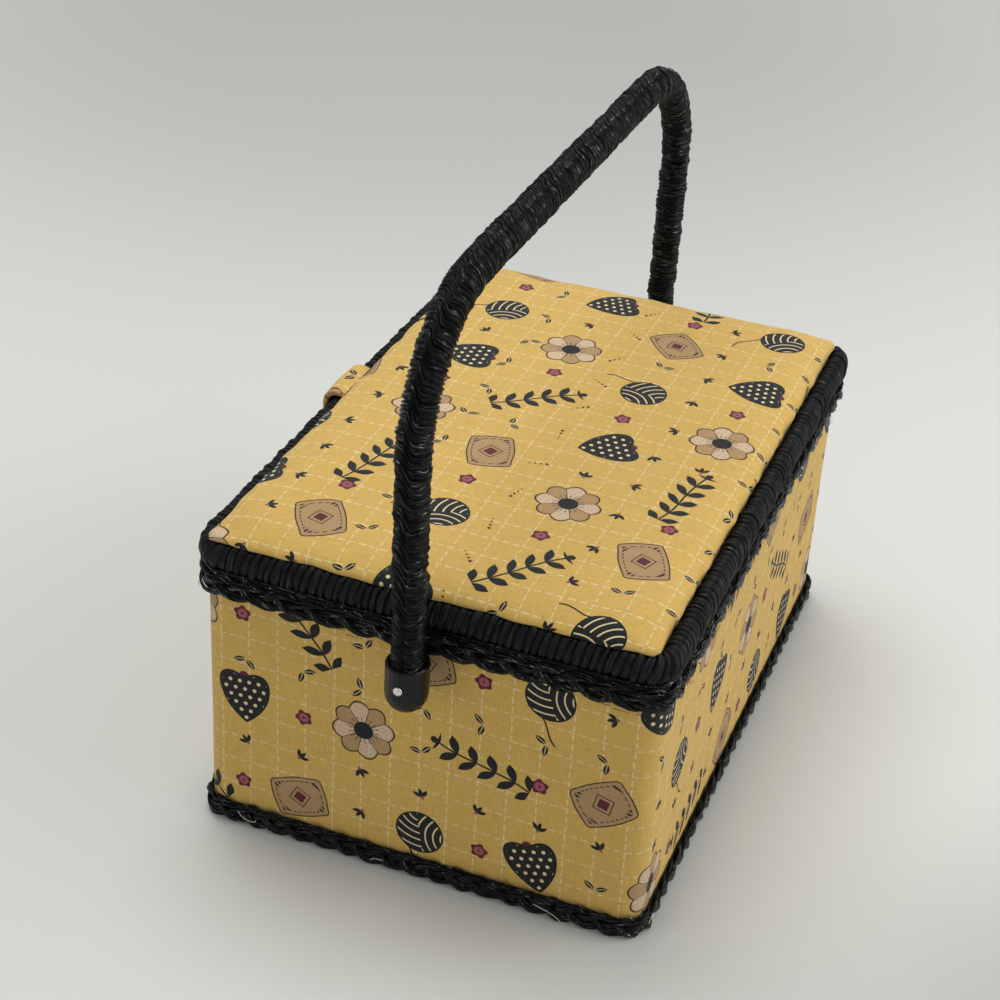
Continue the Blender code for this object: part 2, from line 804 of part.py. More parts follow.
lid_axis = add_axis("lid_hinge_axis", hinge_point)
handle_axis = add_axis("handle_pivot_axis", pivot_point)
strap_axis = add_axis("strap_fold_axis", strap_point, lid_axis)

make_base_board()
make_long_board("front_board", -1)
make_long_board("back_board", 1)
make_end_board("left_end_board", -1)
make_end_board("right_end_board", 1)
make_outer_cover()
make_inner_lining()
make_base_braid()
make_rim_braid()
make_lid_trim(lid_axis)
make_lid_board(lid_axis)
make_lid_lining(lid_axis)
make_lid_pad(lid_axis)
make_pincushion(lid_axis)
make_handle_core(handle_axis)
make_handle_wrap(handle_axis)
make_tray()
make_strap_arch(lid_axis)
make_strap_flap(strap_axis)
make_strap_magnet(strap_axis)
make_catch_magnet()
for hand, side in (("left", -1), ("right", 1)):
    make_hinge_cord("hinge_cord_" + hand, side)
    make_socket("handle_socket_" + hand, side, handle_axis)
    make_rivet("pivot_rivet_" + hand, side)
    make_washer("pivot_washer_" + hand, side)
    make_ledge("tray_ledge_" + hand, side)
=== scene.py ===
import math
from math import pi

import bmesh
import bpy
import numpy as np
from mathutils import Matrix, Vector


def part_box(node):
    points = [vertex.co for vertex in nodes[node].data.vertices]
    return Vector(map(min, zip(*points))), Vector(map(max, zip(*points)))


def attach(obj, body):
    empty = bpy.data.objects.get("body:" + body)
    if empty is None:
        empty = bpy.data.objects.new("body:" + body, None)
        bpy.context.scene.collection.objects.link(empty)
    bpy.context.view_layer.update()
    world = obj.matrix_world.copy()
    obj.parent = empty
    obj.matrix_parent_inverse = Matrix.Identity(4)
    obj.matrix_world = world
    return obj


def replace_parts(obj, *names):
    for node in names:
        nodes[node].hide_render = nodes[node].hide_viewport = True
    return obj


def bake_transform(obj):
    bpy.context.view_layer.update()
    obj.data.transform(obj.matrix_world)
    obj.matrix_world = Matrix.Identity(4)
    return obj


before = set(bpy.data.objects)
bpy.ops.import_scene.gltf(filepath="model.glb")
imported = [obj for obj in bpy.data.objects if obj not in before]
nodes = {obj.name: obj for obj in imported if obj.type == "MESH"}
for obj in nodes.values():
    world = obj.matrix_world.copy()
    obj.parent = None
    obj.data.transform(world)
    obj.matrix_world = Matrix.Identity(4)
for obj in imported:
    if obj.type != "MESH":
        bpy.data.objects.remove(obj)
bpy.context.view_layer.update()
coverLow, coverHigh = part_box("outer_cover")
trimLow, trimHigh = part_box("lid_trim")
wallBoards = ["front_board", "back_board", "left_end_board", "right_end_board"]
body = {"halfX": coverHigh.x, "halfY": coverHigh.y, "corner": 0.0105, "wall": 0.0056}
print("frame loaded")


# Paths and meshes. A loop is a rounded rectangle: half length, half width and corner radius.

def bodyLoop(outset=0.0):
    return [body[key] + outset for key in ("halfX", "halfY", "corner")]


def loopLength(loop):
    halfX, halfY, corner = loop
    return 4 * (halfX + halfY - 2 * corner) + 2 * pi * corner


def loopPath(loop, along):
    # points and outward directions on a loop, anticlockwise from the middle of +X
    halfX, halfY, corner = loop
    coreX, coreY = halfX - corner, halfY - corner
    centres = [(coreX, coreY), (-coreX, coreY), (-coreX, -coreY), (coreX, -coreY), (coreX, 0)]
    runs = [coreY, 2 * coreX, 2 * coreY, 2 * coreX, coreY]
    along = np.mod(along, loopLength(loop))
    point, outward = np.zeros((2, len(along), 2))
    start = 0.0
    for side, (centre, run) in enumerate(zip(centres, runs)):
        end = start + run
        turn = pi / 2 * side
        arcEnd = end + pi / 2 * corner
        on = (along >= start - 1e-12) & (along < arcEnd + 1e-12)
        left = np.maximum(end - along[on], 0)
        angle = turn + np.maximum(along[on] - end, 0) / max(corner, 1e-9)
        outward[on] = np.stack([np.cos(angle), np.sin(angle)], 1)
        tangent = np.array([-math.sin(turn), math.cos(turn)])
        point[on] = np.array(centre) + corner * outward[on] - left[:, None] * tangent
        start = arcEnd
    return point, outward


def loopRing(loop, count):
    return loopPath(loop, np.linspace(0, loopLength(loop), count, endpoint=False))[0]


def gridFaces(rows, columns, closed=False, first=0):
    row = np.arange(rows - 1)
    column = np.arange(columns if closed else columns - 1)
    r, c = np.meshgrid(row, column, indexing="ij")
    nextColumn = (c + 1) % columns
    quads = np.stack([r * columns + c, r * columns + nextColumn,
                      (r + 1) * columns + nextColumn, (r + 1) * columns + c], -1)
    return quads.reshape(-1, 4) + first


def solidFaces(rows, columns, first=0):
    # a closed grid with a flat face at each end
    ends = [range(first, first + columns), range(first + (rows - 1) * columns, first + rows * columns)]
    return [*gridFaces(rows, columns, True, first), *ends]


def unit(vectors):
    return vectors / np.linalg.norm(vectors, axis=-1)[..., None]


def runOf(line):
    # distance along a line at each of its points
    return np.concatenate([[0], np.cumsum(np.linalg.norm(np.diff(line, axis=0), axis=1))])


def addObject(name, data):
    thing = bpy.data.objects.new(name, data)
    bpy.context.scene.collection.objects.link(thing)
    return thing


def newPiece(name, points, faces, material, places=None, placeName="clothPlace"):
    mesh = bpy.data.meshes.new(name)
    mesh.from_pydata(np.asarray(points).reshape(-1, 3).tolist(), [],
                     [list(map(int, face)) for face in faces])
    mesh.validate()
    if places is not None:
        attribute = mesh.attributes.new(placeName, "FLOAT_VECTOR", "POINT")
        attribute.data.foreach_set("vector", np.asarray(places, np.float32).ravel())
    mesh.shade_smooth()
    mesh.materials.append(material)
    return addObject(name, mesh)


def solidPiece(*given):
    # a piece whose faces are turned to face outward
    piece = newPiece(*given)
    work = bmesh.new()
    work.from_mesh(piece.data)
    bmesh.ops.recalc_face_normals(work, faces=work.faces)
    work.to_mesh(piece.data)
    work.free()
    return piece


def smoothNoise(values, period, seed, count=64):
    # a smooth random curve of about -1 to 1 that repeats after one period
    random = np.random.default_rng(seed)
    around = 2 * pi * values / period
    total = np.zeros_like(values, dtype=float)
    for octave in range(1, 5):
        turns = max(1, int(count / 2 ** (4 - octave)))
        phase = random.random() * 2 * pi
        bend = 1.7 * np.sin((turns // 2 + octave) * around + 3 * phase)
        total += np.sin(turns * around + phase + bend)
    return total / 4


def crinkle(points, size, seed, waves=26):
    # smooth random relief in space, about -1 to 1, with waves of about the given size
    random = np.random.default_rng(seed)
    total = np.zeros(points.shape[:-1])
    for wave in range(waves):
        heading = random.normal(size=3)
        heading *= 2 * pi / (size * random.uniform(0.7, 2.2) * np.linalg.norm(heading))
        total += np.sin(points @ heading + random.uniform(0, 2 * pi))
    return total / math.sqrt(waves)


# Nodes

class Field:
    # a number that changes over the surface: sums and products of it make Math nodes
    def __init__(self, tree, socket):
        self.tree, self.socket = tree, socket

    def apply(self, operation, *others, clamp=False):
        node = self.tree.nodes.new("ShaderNodeMath")
        node.operation = operation
        node.use_clamp = clamp
        for socket, value in zip(node.inputs, (self, *others)):
            feed(self.tree, socket, value)
        return Field(self.tree, node.outputs[0])

    def __rsub__(self, other):
        return self.apply("MULTIPLY_ADD", -1.0, other)

    def held(self):
        # kept between 0 and 1
        return self.apply("ADD", 0.0, clamp=True)

    def inside(self, soft=0.09):
        # 1 where a signed distance is negative, with a soft edge
        return self.apply("MULTIPLY_ADD", -0.5 / soft, 0.5, clamp=True)


fieldWords = {
    "__add__": "ADD", "__radd__": "ADD", "__sub__": "SUBTRACT", "__mul__": "MULTIPLY",
    "__rmul__": "MULTIPLY", "__truediv__": "DIVIDE", "abs": "ABSOLUTE", "floor": "FLOOR",
    "fract": "FRACT", "sin": "SINE", "cos": "COSINE", "root": "SQRT", "most": "MAXIMUM",
    "below": "LESS_THAN", "angleFrom": "ARCTAN2", "modulo": "MODULO",
}
for word, operation in fieldWords.items():
    setattr(Field, word, lambda self, *others, operation=operation: self.apply(operation, *others))


def feed(tree, socket, value):
    if isinstance(value, Field):
        tree.links.new(value.socket, socket)
    elif isinstance(value, bpy.types.NodeSocket):
        tree.links.new(value, socket)
    else:
        socket.default_value = value


def newNode(tree, kind, inputs=(), **settings):
    node = tree.nodes.new(kind)
    for name, value in settings.items():
        setattr(node, name, value)
    for name, value in dict(inputs).items():
        feed(tree, node.inputs[name], value)
    return node


def newGroup(name, inputs, outputs):
    tree = bpy.data.node_groups.new(name, "ShaderNodeTree")
    for title, kind, value in inputs:
        socket = tree.interface.new_socket(title, in_out="INPUT", socket_type="NodeSocket" + kind)
        if value is not None:
            socket.default_value = value
    for title, kind in outputs:
        tree.interface.new_socket(title, in_out="OUTPUT", socket_type="NodeSocket" + kind)
    start = tree.nodes.new("NodeGroupInput")
    end = tree.nodes.new("NodeGroupOutput")
    return tree, start.outputs, end.inputs


def useGroup(tree, group, inputs):
    return newNode(tree, "ShaderNodeGroup", inputs, node_tree=group).outputs


def split(tree, vector):
    node = newNode(tree, "ShaderNodeSeparateXYZ", {"Vector": vector})
    return [Field(tree, output) for output in node.outputs]


def noiseField(tree, vector, scale, detail=2.0, roughness=0.5):
    # three scales stretch the noise
    if isinstance(scale, tuple):
        stretch = newNode(tree, "ShaderNodeVectorMath", {0: vector, 1: scale}, operation="MULTIPLY")
        vector, scale = stretch.outputs[0], 1.0
    node = newNode(tree, "ShaderNodeTexNoise", {"Vector": vector, "Scale": scale, "Detail": detail,
                                                "Roughness": roughness})
    return Field(tree, node.outputs["Fac"])


def mixColour(tree, share, *colours):
    node = newNode(tree, "ShaderNodeMix", {0: share}, data_type="RGBA")
    for socket, colour in zip((6, 7), colours):
        feed(tree, node.inputs[socket], (*colour, 1.0) if isinstance(colour, tuple) else colour)
    return node.outputs[2]


def startMaterial(name, attribute=None):
    material = bpy.data.materials.new(name)
    material.use_nodes = True
    tree = material.node_tree
    if attribute:
        place = newNode(tree, "ShaderNodeAttribute", attribute_name=attribute).outputs["Vector"]
    else:
        place = newNode(tree, "ShaderNodeTexCoord").outputs["Object"]
    return material, tree, place


def setShader(tree, inputs, height=None, bump=0.0):
    shader = tree.nodes["Principled BSDF"]
    for name, value in inputs.items():
        feed(tree, shader.inputs[name], value)
    if height is not None:
        relief = newNode(tree, "ShaderNodeBump", {"Height": height, "Distance": bump, "Strength": 1.0})
        feed(tree, shader.inputs["Normal"], relief.outputs["Normal"])


# Weave of plain cotton: threads over and under, uneven yarn, and painted shade across each thread

def makeWeaveGroup():
    tree, given, wanted = newGroup(
        "plainWeave", [("Place", "Vector", None), ("Thread", "Float", 0.00042)],
        [("Height", "Float"), ("Tone", "Float")])
    x, y = split(tree, given["Place"])[:2]
    thread = Field(tree, given["Thread"])
    u, v = x / thread, y / thread
    over = (u.floor() + v.floor()).modulo(2.0).abs()
    warp, weft = (((along.fract() - 0.5) * pi).cos() for along in (u, v))
    height = warp * over + weft * (1.0 - over)
    slubs = [noiseField(tree, given["Place"], scales) for scales in ((140.0, 2100.0, 300.0),
                                                                    (2100.0, 140.0, 300.0))]
    slub = (slubs[0] + slubs[1]) - 1.0
    feed(tree, wanted["Height"], height * 0.5 + slub * 1.1)
    # Tone is random slub tone, plus painted shade: each thread is lighter at its crown and darker towards
    # its edges
    feed(tree, wanted["Tone"], (slub * 1.3 + height * 0.16 + 0.42).held())
    return tree


# Fibres of twisted paper cord. The attribute holds places in fibre widths.

def makeFibreGroup():
    tree, given, wanted = newGroup("paperFibres", [("Place", "Vector", None)],
                                   [("Height", "Float"), ("Tone", "Float"), ("Shine", "Float")])
    fine = noiseField(tree, given["Place"], 1.0, 3.0, 0.62)
    broad = noiseField(tree, given["Place"], (0.42, 0.42, 0.42))
    folds = (noiseField(tree, given["Place"], (0.55, 0.55, 0.9), 1.0) - 0.5).abs()
    feed(tree, wanted["Height"], fine * 0.6 + broad * 0.5 - folds * 1.6)
    feed(tree, wanted["Tone"], ((fine + broad) * 2.4 - 2.0).held())
    feed(tree, wanted["Shine"], (broad * 7.0 + fine * 3.4 - 5.85).held())
    return tree


# Printed cotton: a dashed grid, large motifs in a brick lattice and small ones between them.
# Inside the group lengths are in millimetres.

inks = {
    "ground": (0.625, 0.400, 0.098), "cream": (0.76, 0.62, 0.36), "tan": (0.420, 0.262, 0.120),
    "pale": (0.66, 0.50, 0.33), "burgundy": (0.110, 0.013, 0.024), "plum": (0.34, 0.085, 0.115),
    "charcoal": (0.0085, 0.0092, 0.0098), "brown": (0.030, 0.0125, 0.0095),
}
paintOrder = ["tan", "pale", "burgundy", "plum", "brown", "charcoal", "cream"]
printLayout = {
    "square": 13.6, "dash": 4.9, "dashShare": 0.66, "dashStart": 0.3, "dashWidth": 0.74, "dashSoft": 0.12,
    "dashInk": 0.80, "cellX": 56.0, "cellY": 46.0, "shift": 0.5, "largeGrowth": 1.18, "sway": 0.9,
    "swayScale": 60.0, "smallBand": 0.27,
}


def lengthOf(x, y):
    return (x * x + y * y).root()


def arch(share):
    return 1.0 - share * share


def repeated(value, size):
    # the same short ramp over and over, about zero
    return ((value / size).fract() - 0.5) * size


def turned(x, y, angle):
    if isinstance(angle, Field):
        c, s = angle.cos(), angle.sin()
    else:
        c, s = math.cos(angle), math.sin(angle)
    return x * c + y * s, y * c - x * s


def dottedHeart(x, y):
    edge = lengthOf(x, y - x.abs() * 0.62) - 10.6
    row = (y / 3.3).floor()
    dotX = ((x / 3.9 + row * 0.5).fract() - 0.5) * 3.9
    dots = (lengthOf(dotX, repeated(y, 3.3)) - 0.78).inside() * (edge + 1.2).inside()
    bud = (lengthOf(x, y - 11.0) - 2.0).inside()
    return {"charcoal": edge.inside(), "cream": dots, "burgundy": bud}


def leafySprig(x, y):
    bent = y - (x / 9.0).sin() * 1.6
    stem = (bent.abs() - 0.42).most(x.abs() - 19.0).inside()
    u, v = turned(repeated(x, 7.6) + 1.4, bent.abs(), 0.86)
    leaf = (v.abs() - arch((u - 4.4) / 4.4) * 1.75).most(x.abs() - 19.0)
    tip = lengthOf((x - 20.0), bent) - 1.5
    return {"charcoal": stem.most(leaf.inside()).most(tip.inside())}


def rosette(x, y):
    r = lengthOf(x, y)
    angle = y.angleFrom(x)
    petals = (angle * 4.0).sin()
    edge = r - (petals.abs() * 2.3 + 10.4)
    line = (edge.abs() - 0.34).inside()
    veins = (petals.abs() * r - 0.55).most(r - 10.4).most(3.6 - r).inside()
    heart = (r - 3.9).inside()
    rays = ((angle * 9.0).sin().abs() - 0.25).most(r - 6.2).inside(0.2)
    light = (edge + 0.6).most(petals * -4.0).inside(0.4)
    seeds = (lengthOf(repeated(x, 2.0), repeated(y, 2.0)) - 0.45).inside()
    return {"tan": edge.inside(), "pale": light * 0.85, "plum": seeds * light * 0.35,
            "brown": line.most(veins), "charcoal": heart.most(rays)}


def yarnBall(x, y):
    ball = lengthOf(x, y) - 9.6
    wind = (lengthOf(x + 9.0, y - 5.0) / 3.1).fract() - 0.5
    cross = (lengthOf(x - 7.0, y - 11.0) / 3.1).fract() - 0.5
    upper = (y + x * 0.4).below(0.0)
    first, second = ((turns.abs() * 3.1 - 0.30).inside() for turns in (wind, cross))
    tail = ((y + 9.2 - (x / 3.4).sin() * 1.5).abs() - 0.36).most((x - 10.0).abs() - 11.0).inside()
    return {"charcoal": ball.inside().most(tail),
            "cream": (first * upper + second * (1.0 - upper)) * (ball + 0.8).inside()}


def stitchedPatch(x, y):
    wave = ((x / 3.6).cos() + (y / 3.6).cos()) * 0.5
    edge = lengthOf((x.abs() - 9.0).most(0.0), (y.abs() - 6.6).most(0.0)) - 2.4 - wave
    line = (edge.abs() - 0.28).inside()
    dashes = ((edge + 2.0).abs() - 0.24).inside() * ((x + y * 0.7) / 2.1).fract().below(0.6)
    diamond = (x.abs() + y.abs() - 2.9).inside()
    ring = ((x.abs() + y.abs() - 4.6).abs() - 0.3).inside()
    return {"tan": edge.inside(), "brown": line.most(dashes).most(ring), "burgundy": diamond}


def blossom(x, y):
    r = lengthOf(x, y)
    edge = r - ((y.angleFrom(x) * 5.0).cos() * 0.5 + 3.7)
    return {"burgundy": edge.inside(), "plum": (r - 2.3).inside(), "charcoal": (r - 0.55).inside()}


def smallRing(x, y):
    r = lengthOf(x, y * 1.08)
    line = ((r - 2.5).abs() - 0.36).inside()
    return {"pale": (r - 2.5).inside(), "brown": line.most((r - 0.7).inside())}


def creamLeaf(x, y):
    outline = ((y.abs() - arch(x / 5.2) * 2.3).abs() - 0.42).most(x.abs() - 5.6).inside()
    return {"cream": outline.most((y.abs() - 0.28).most((x - 1.5).abs() - 5.2).inside())}


def leafPair(x, y):
    u, v = turned(x.abs(), y, 0.55)
    edge = (v.abs() - arch((u - 3.2) / 3.0) * 1.35).most((u - 3.2).abs() - 3.1)
    vein = (v.abs() - 0.2).most((u - 2.6).abs() - 2.6).inside()
    return {"charcoal": edge.inside(), "cream": vein * 0.75}


def dotTrail(x, y):
    bent = y - (x / 5.0).sin() * 0.9
    dots = lengthOf(repeated(x, 2.6), bent) - 0.62 - x * 0.05
    return {"brown": dots.most(x.abs() - 5.2).inside()}


def mostOf(masks):
    total = masks[0]
    for mask in masks[1:]:
        total = total.most(mask)
    return total


def petalTrio(x, y):
    petals = []
    for angle in (0.8, pi / 2, pi - 0.8):
        u, v = turned(x, y + 2.0, angle)
        petals.append((v.abs() - arch((u - 2.7) / 2.3) * 0.95).inside())
    return {"charcoal": mostOf(petals), "plum": (lengthOf(x, y + 2.2) - 0.8).inside()}


largeMotifs = {
    "motifs": [dottedHeart, rosette, leafySprig, stitchedPatch, yarnBall], "cell": (1, 1),
    "start": (0, 0), "order": (1, 2, 5, 1.3), "wobble": 3.0, "turn": 1.2, "seed": 1.0,
}
middleMotifs = {
    "motifs": [blossom, leafPair, blossom, petalTrio], "cell": (1, 1), "start": (1 / 2, 0),
    "order": (1, 1, 4, 0.9), "wobble": 3.0, "turn": 3.0, "seed": 2.0,
}
smallMotifs = {
    "motifs": [smallRing, dotTrail, creamLeaf, leafPair, smallRing, petalTrio], "cell": (1 / 4, 1 / 2),
    "start": (1 / 8, 1 / 4), "order": (3, 2, 6, 1.1), "wobble": 2.0, "turn": 4.0, "seed": 3.0,
}


def scatter(tree, x, y, p, shift=0.0, growth=1.0):
    # places motifs on a brick lattice: which one comes from the cell's own number
    size = (printLayout["cellX"], printLayout["cellY"])
    cellX, cellY = (share * side for share, side in zip(p["cell"], size))
    startX, startY = (share * side for share, side in zip(p["start"], size))
    u, v = (x - startX) / cellX, (y - startY) / cellY
    row = v.floor()
    u = u + (row * shift).fract() if shift else u
    column = u.floor()
    spot = newNode(tree, "ShaderNodeCombineXYZ", {"X": column, "Y": row, "Z": p["seed"]}).outputs[0]
    draw = newNode(tree, "ShaderNodeTexWhiteNoise", {"Vector": spot}, noise_dimensions="3D")
    first, second, third = split(tree, draw.outputs["Color"])
    localX = (u.fract() - 0.5) * cellX + (first - 0.5) * p["wobble"]
    localY = (v.fract() - 0.5) * cellY + (second - 0.5) * p["wobble"]
    perColumn, perRow, begin, turn = p["order"]
    number = (column * perColumn + row * perRow + begin * 100).modulo(float(len(p["motifs"])))
    localX, localY = turned(localX, localY, (third - 0.5) * p["turn"] + number * turn)
    masks = {}
    for index, motif in enumerate(p["motifs"]):
        chosen = number.apply("COMPARE", float(index), 0.3)
        for ink, mask in motif(localX / growth, localY / growth).items():
            masks.setdefault(ink, []).append(mask * chosen)
    return {ink: mostOf(layers) for ink, layers in masks.items()}


def makePrintGroup():
    p = printLayout
    tree, given, wanted = newGroup("cottonPrint", [("Place", "Vector", None)],
                                   [("Colour", "Color"), ("Ink", "Float")])
    warp = newNode(tree, "ShaderNodeTexNoise",
                   {"Vector": given["Place"], "Scale": p["swayScale"], "Detail": 1.0})
    places, sways = split(tree, given["Place"])[:2], split(tree, warp.outputs["Color"])
    x, y = (place * 1000.0 + (sway - 0.5) * p["sway"] for place, sway in zip(places, sways))
    acrossDash = (y / p["dash"]).fract().below(p["dashShare"])
    alongDash = (x / p["dash"] + p["dashStart"]).fract().below(p["dashShare"])
    lineX, lineY = ((((place / p["square"]).fract() - 0.5).abs() * p["square"]
                     - p["dashWidth"] / 2).inside(p["dashSoft"]) for place in (x, y))
    dashes = (lineX * acrossDash).most(lineY * alongDash * 0.8)
    large = scatter(tree, x, y, largeMotifs, p["shift"], p["largeGrowth"])
    middle = scatter(tree, x, y, middleMotifs, p["shift"])
    small = scatter(tree, x, y, smallMotifs)
    between = (((y / p["cellY"]).fract() - 0.5).abs() - p["smallBand"]).below(0.0)
    alternate = ((x / (p["cellX"] / 4) - 0.5).floor()).modulo(2.0).abs()
    openPlace = (1.0 - between) * alternate
    colour = mixColour(tree, dashes * p["dashInk"], inks["ground"], inks["cream"])
    covers = []
    for ink in paintOrder:
        layers = [masks[ink] for masks in (large, middle) if ink in masks]
        if ink in small:
            layers.append(small[ink] * openPlace)
        covers.append(mostOf(layers))
        colour = mixColour(tree, covers[-1], colour, inks[ink])
    feed(tree, wanted["Colour"], colour)
    feed(tree, wanted["Ink"], mostOf(covers))
    return tree


weaveGroup = makeWeaveGroup()
fibreGroup = makeFibreGroup()
printGroup = makePrintGroup()
print("node groups built")

# Materials

cottonFinish = {"thread": 0.00046, "bump": 0.00012, "tone": 0.17, "broadTone": 0.12, "broadScale": 22.0,
                "roughness": 0.80, "sheen": 0.12, "gloss": 0.22}


def makeCotton(name, colour=None):
    p = cottonFinish
    material, tree, place = startMaterial(name, "clothPlace")
    weave = useGroup(tree, weaveGroup, {"Place": place, "Thread": p["thread"]})
    ground = colour or useGroup(tree, printGroup, {"Place": place})["Colour"]
    broad = noiseField(tree, place, p["broadScale"])
    # the weave's tone, with its painted shade across each thread, and broad random tone scale the ground
    # colour
    shade = (Field(tree, weave["Tone"]) - 0.5) * p["tone"] * 2 + (broad - 0.5) * p["broadTone"] + 1.0
    dyed = newNode(tree, "ShaderNodeVectorMath", {0: ground}, operation="SCALE")
    feed(tree, dyed.inputs["Scale"], shade)
    setShader(tree, {"Base Color": dyed.outputs[0], "Roughness": p["roughness"],
                     "Sheen Weight": p["sheen"], "Sheen Roughness": 0.5,
                     "Specular IOR Level": p["gloss"]}, weave["Height"], p["bump"])
    return material


glossyCord = {"dark": (0.0006, 0.0008, 0.0007), "light": (0.008, 0.010, 0.0095), "glint": 1.0}
cordFinish = {
    "trimCord": {"dark": (0.0012, 0.0015, 0.0014), "light": (0.013, 0.0155, 0.0148), "roughness": 0.50,
                 "gloss": 0.15, "glint": 0.45, "glintIor": 1.5, "bump": 0.00022},
    "braidCord": {**glossyCord, "roughness": 0.32, "gloss": 0.13, "glintIor": 2.3, "bump": 0.00016},
    "handleCord": {**glossyCord, "roughness": 0.36, "gloss": 0.12, "glintIor": 1.8, "bump": 0.00018},
    "paleThread": {"dark": (0.52, 0.50, 0.42), "light": (0.80, 0.78, 0.70), "roughness": 0.60,
                   "gloss": 0.30, "glint": 0.1, "glintIor": 1.5, "bump": 0.00005},
}


def makeCord(name, p):
    material, tree, place = startMaterial(name, "fibrePlace")
    fibres = useGroup(tree, fibreGroup, {"Place": place})
    shine = Field(tree, fibres["Shine"])
    setShader(tree, {"Base Color": mixColour(tree, fibres["Tone"], p["dark"], p["light"]),
                     "Roughness": shine * -0.2 + p["roughness"], "Coat Weight": shine * p["glint"],
                     "Coat Roughness": 0.14, "Coat IOR": p["glintIor"], "Specular IOR Level": p["gloss"]},
              fibres["Height"], p["bump"])
    return material


printedCotton = makeCotton("printedCotton")
liningCotton = makeCotton("liningCotton", (0.66, 0.52, 0.27))
trimCord, braidCord, handleCord, paleThread = (makeCord(name, p) for name, p in cordFinish.items())

# The other materials: scale, detail and roughness of a fine grain and of broader marks. The marks,
# or the grain where there are none, mix the two colours. marksVary and grainVaries say how much
# each changes the roughness. A name with a capital is one of the shader's own sockets.
plastic = {"marks": (140.0, 3.0, 0.6), "marksVary": 0.22, "marksRelief": 0.6}
steel = {"grain": ((400.0, 4000.0, 4000.0), 2.0), "marks": (260.0, 3.0), "grainVaries": 0.2,
         "bump": 0.00002, "Metallic": 1.0}
grainFinish = {
    "greyBoard": {"grain": (900.0, 4.0, 0.7), "dark": (0.27, 0.23, 0.18), "light": (0.42, 0.37, 0.29),
                  "roughness": 0.92, "bump": 0.0002},
    "rattanCore": {"grain": ((900.0, 900.0, 60.0), 3.0), "dark": (0.30, 0.19, 0.085),
                   "light": (0.50, 0.36, 0.19), "roughness": 0.62, "bump": 0.0002},
    "blackPlastic": {**plastic, "grain": (2200.0, 3.0, 0.6), "dark": (0.0030, 0.0032, 0.0034),
                     "light": (0.0052, 0.0056, 0.0060), "roughness": 0.24, "bump": 0.00006,
                     "Specular IOR Level": 0.24},
    "milkyPlastic": {**plastic, "grain": (1500.0, 3.0, 0.6), "dark": (0.70, 0.68, 0.61),
                     "light": (0.78, 0.76, 0.70), "roughness": 0.40, "bump": 0.00005},
    "nickelSteel": {**steel, "dark": (0.62, 0.61, 0.58), "light": (0.82, 0.81, 0.79), "roughness": 0.24},
    "snapSteel": {**steel, "dark": (0.50, 0.48, 0.45), "light": (0.66, 0.64, 0.60), "roughness": 0.32},
    "cushionFelt": {"grain": (1400.0, 4.0, 0.7), "marks": (90.0, 2.0), "grainTone": 0.6, "marksTone": 0.4,
                    "dark": (0.19, 0.014, 0.022), "light": (0.36, 0.040, 0.052), "roughness": 0.95,
                    "bump": 0.0004, "Sheen Weight": 0.5},
}


def makeGrained(name):
    p = grainFinish[name]
    material, tree, place = startMaterial(name)
    grain = noiseField(tree, place, *p["grain"])
    marks = noiseField(tree, place, *p["marks"]) if "marks" in p else grain
    tone, roughness, height = marks, p["roughness"], grain
    if "grainTone" in p:
        tone = grain * p["grainTone"] + marks * p["marksTone"]
    for source, word in ((marks, "marksVary"), (grain, "grainVaries")):
        if word in p:
            roughness = (source - 0.5) * p[word] + p["roughness"]
    if "marksRelief" in p:
        height = grain + marks * p["marksRelief"]
    inputs = {word: value for word, value in p.items() if word[0].isupper()}
    inputs.update({"Base Color": mixColour(tree, tone, p["dark"], p["light"]), "Roughness": roughness})
    setShader(tree, inputs, height, p["bump"])
    return material


nodeFinishes = {
    "greyBoard": ["base_board", *wallBoards, "lid_board", "tray_ledge_left", "tray_ledge_right"],
    "rattanCore": ["handle_core"],
    "blackPlastic": ["handle_socket_left", "handle_socket_right"],
    "milkyPlastic": ["tray"],
    "nickelSteel": ["pivot_rivet_left", "pivot_rivet_right", "pivot_washer_left", "pivot_washer_right"],
    "snapSteel": ["strap_magnet", "catch_magnet"],
}
cushionFelt = makeGrained("cushionFelt")
for finish, names in nodeFinishes.items():
    material = makeGrained(finish)
    for name in names:
        mesh = nodes[name].data
        if not mesh.materials:
            mesh.materials.append(material)
        for number in range(len(mesh.materials)):
            mesh.materials[number] = material
print("materials built")

# Wall cover: one strip of cotton round the walls, lapped under the strap and turned over the rim

coverCloth = {"step": 0.0025, "rows": 40, "lap": 0.0010, "hem": 0.0003, "wave": 0.00022, "waves": 60,
              "pucker": 0.00030, "puckers": 220, "footShare": 1 / 7, "rimShare": 1 / 6, "sway": 0.0012,
              "high": 0.146}


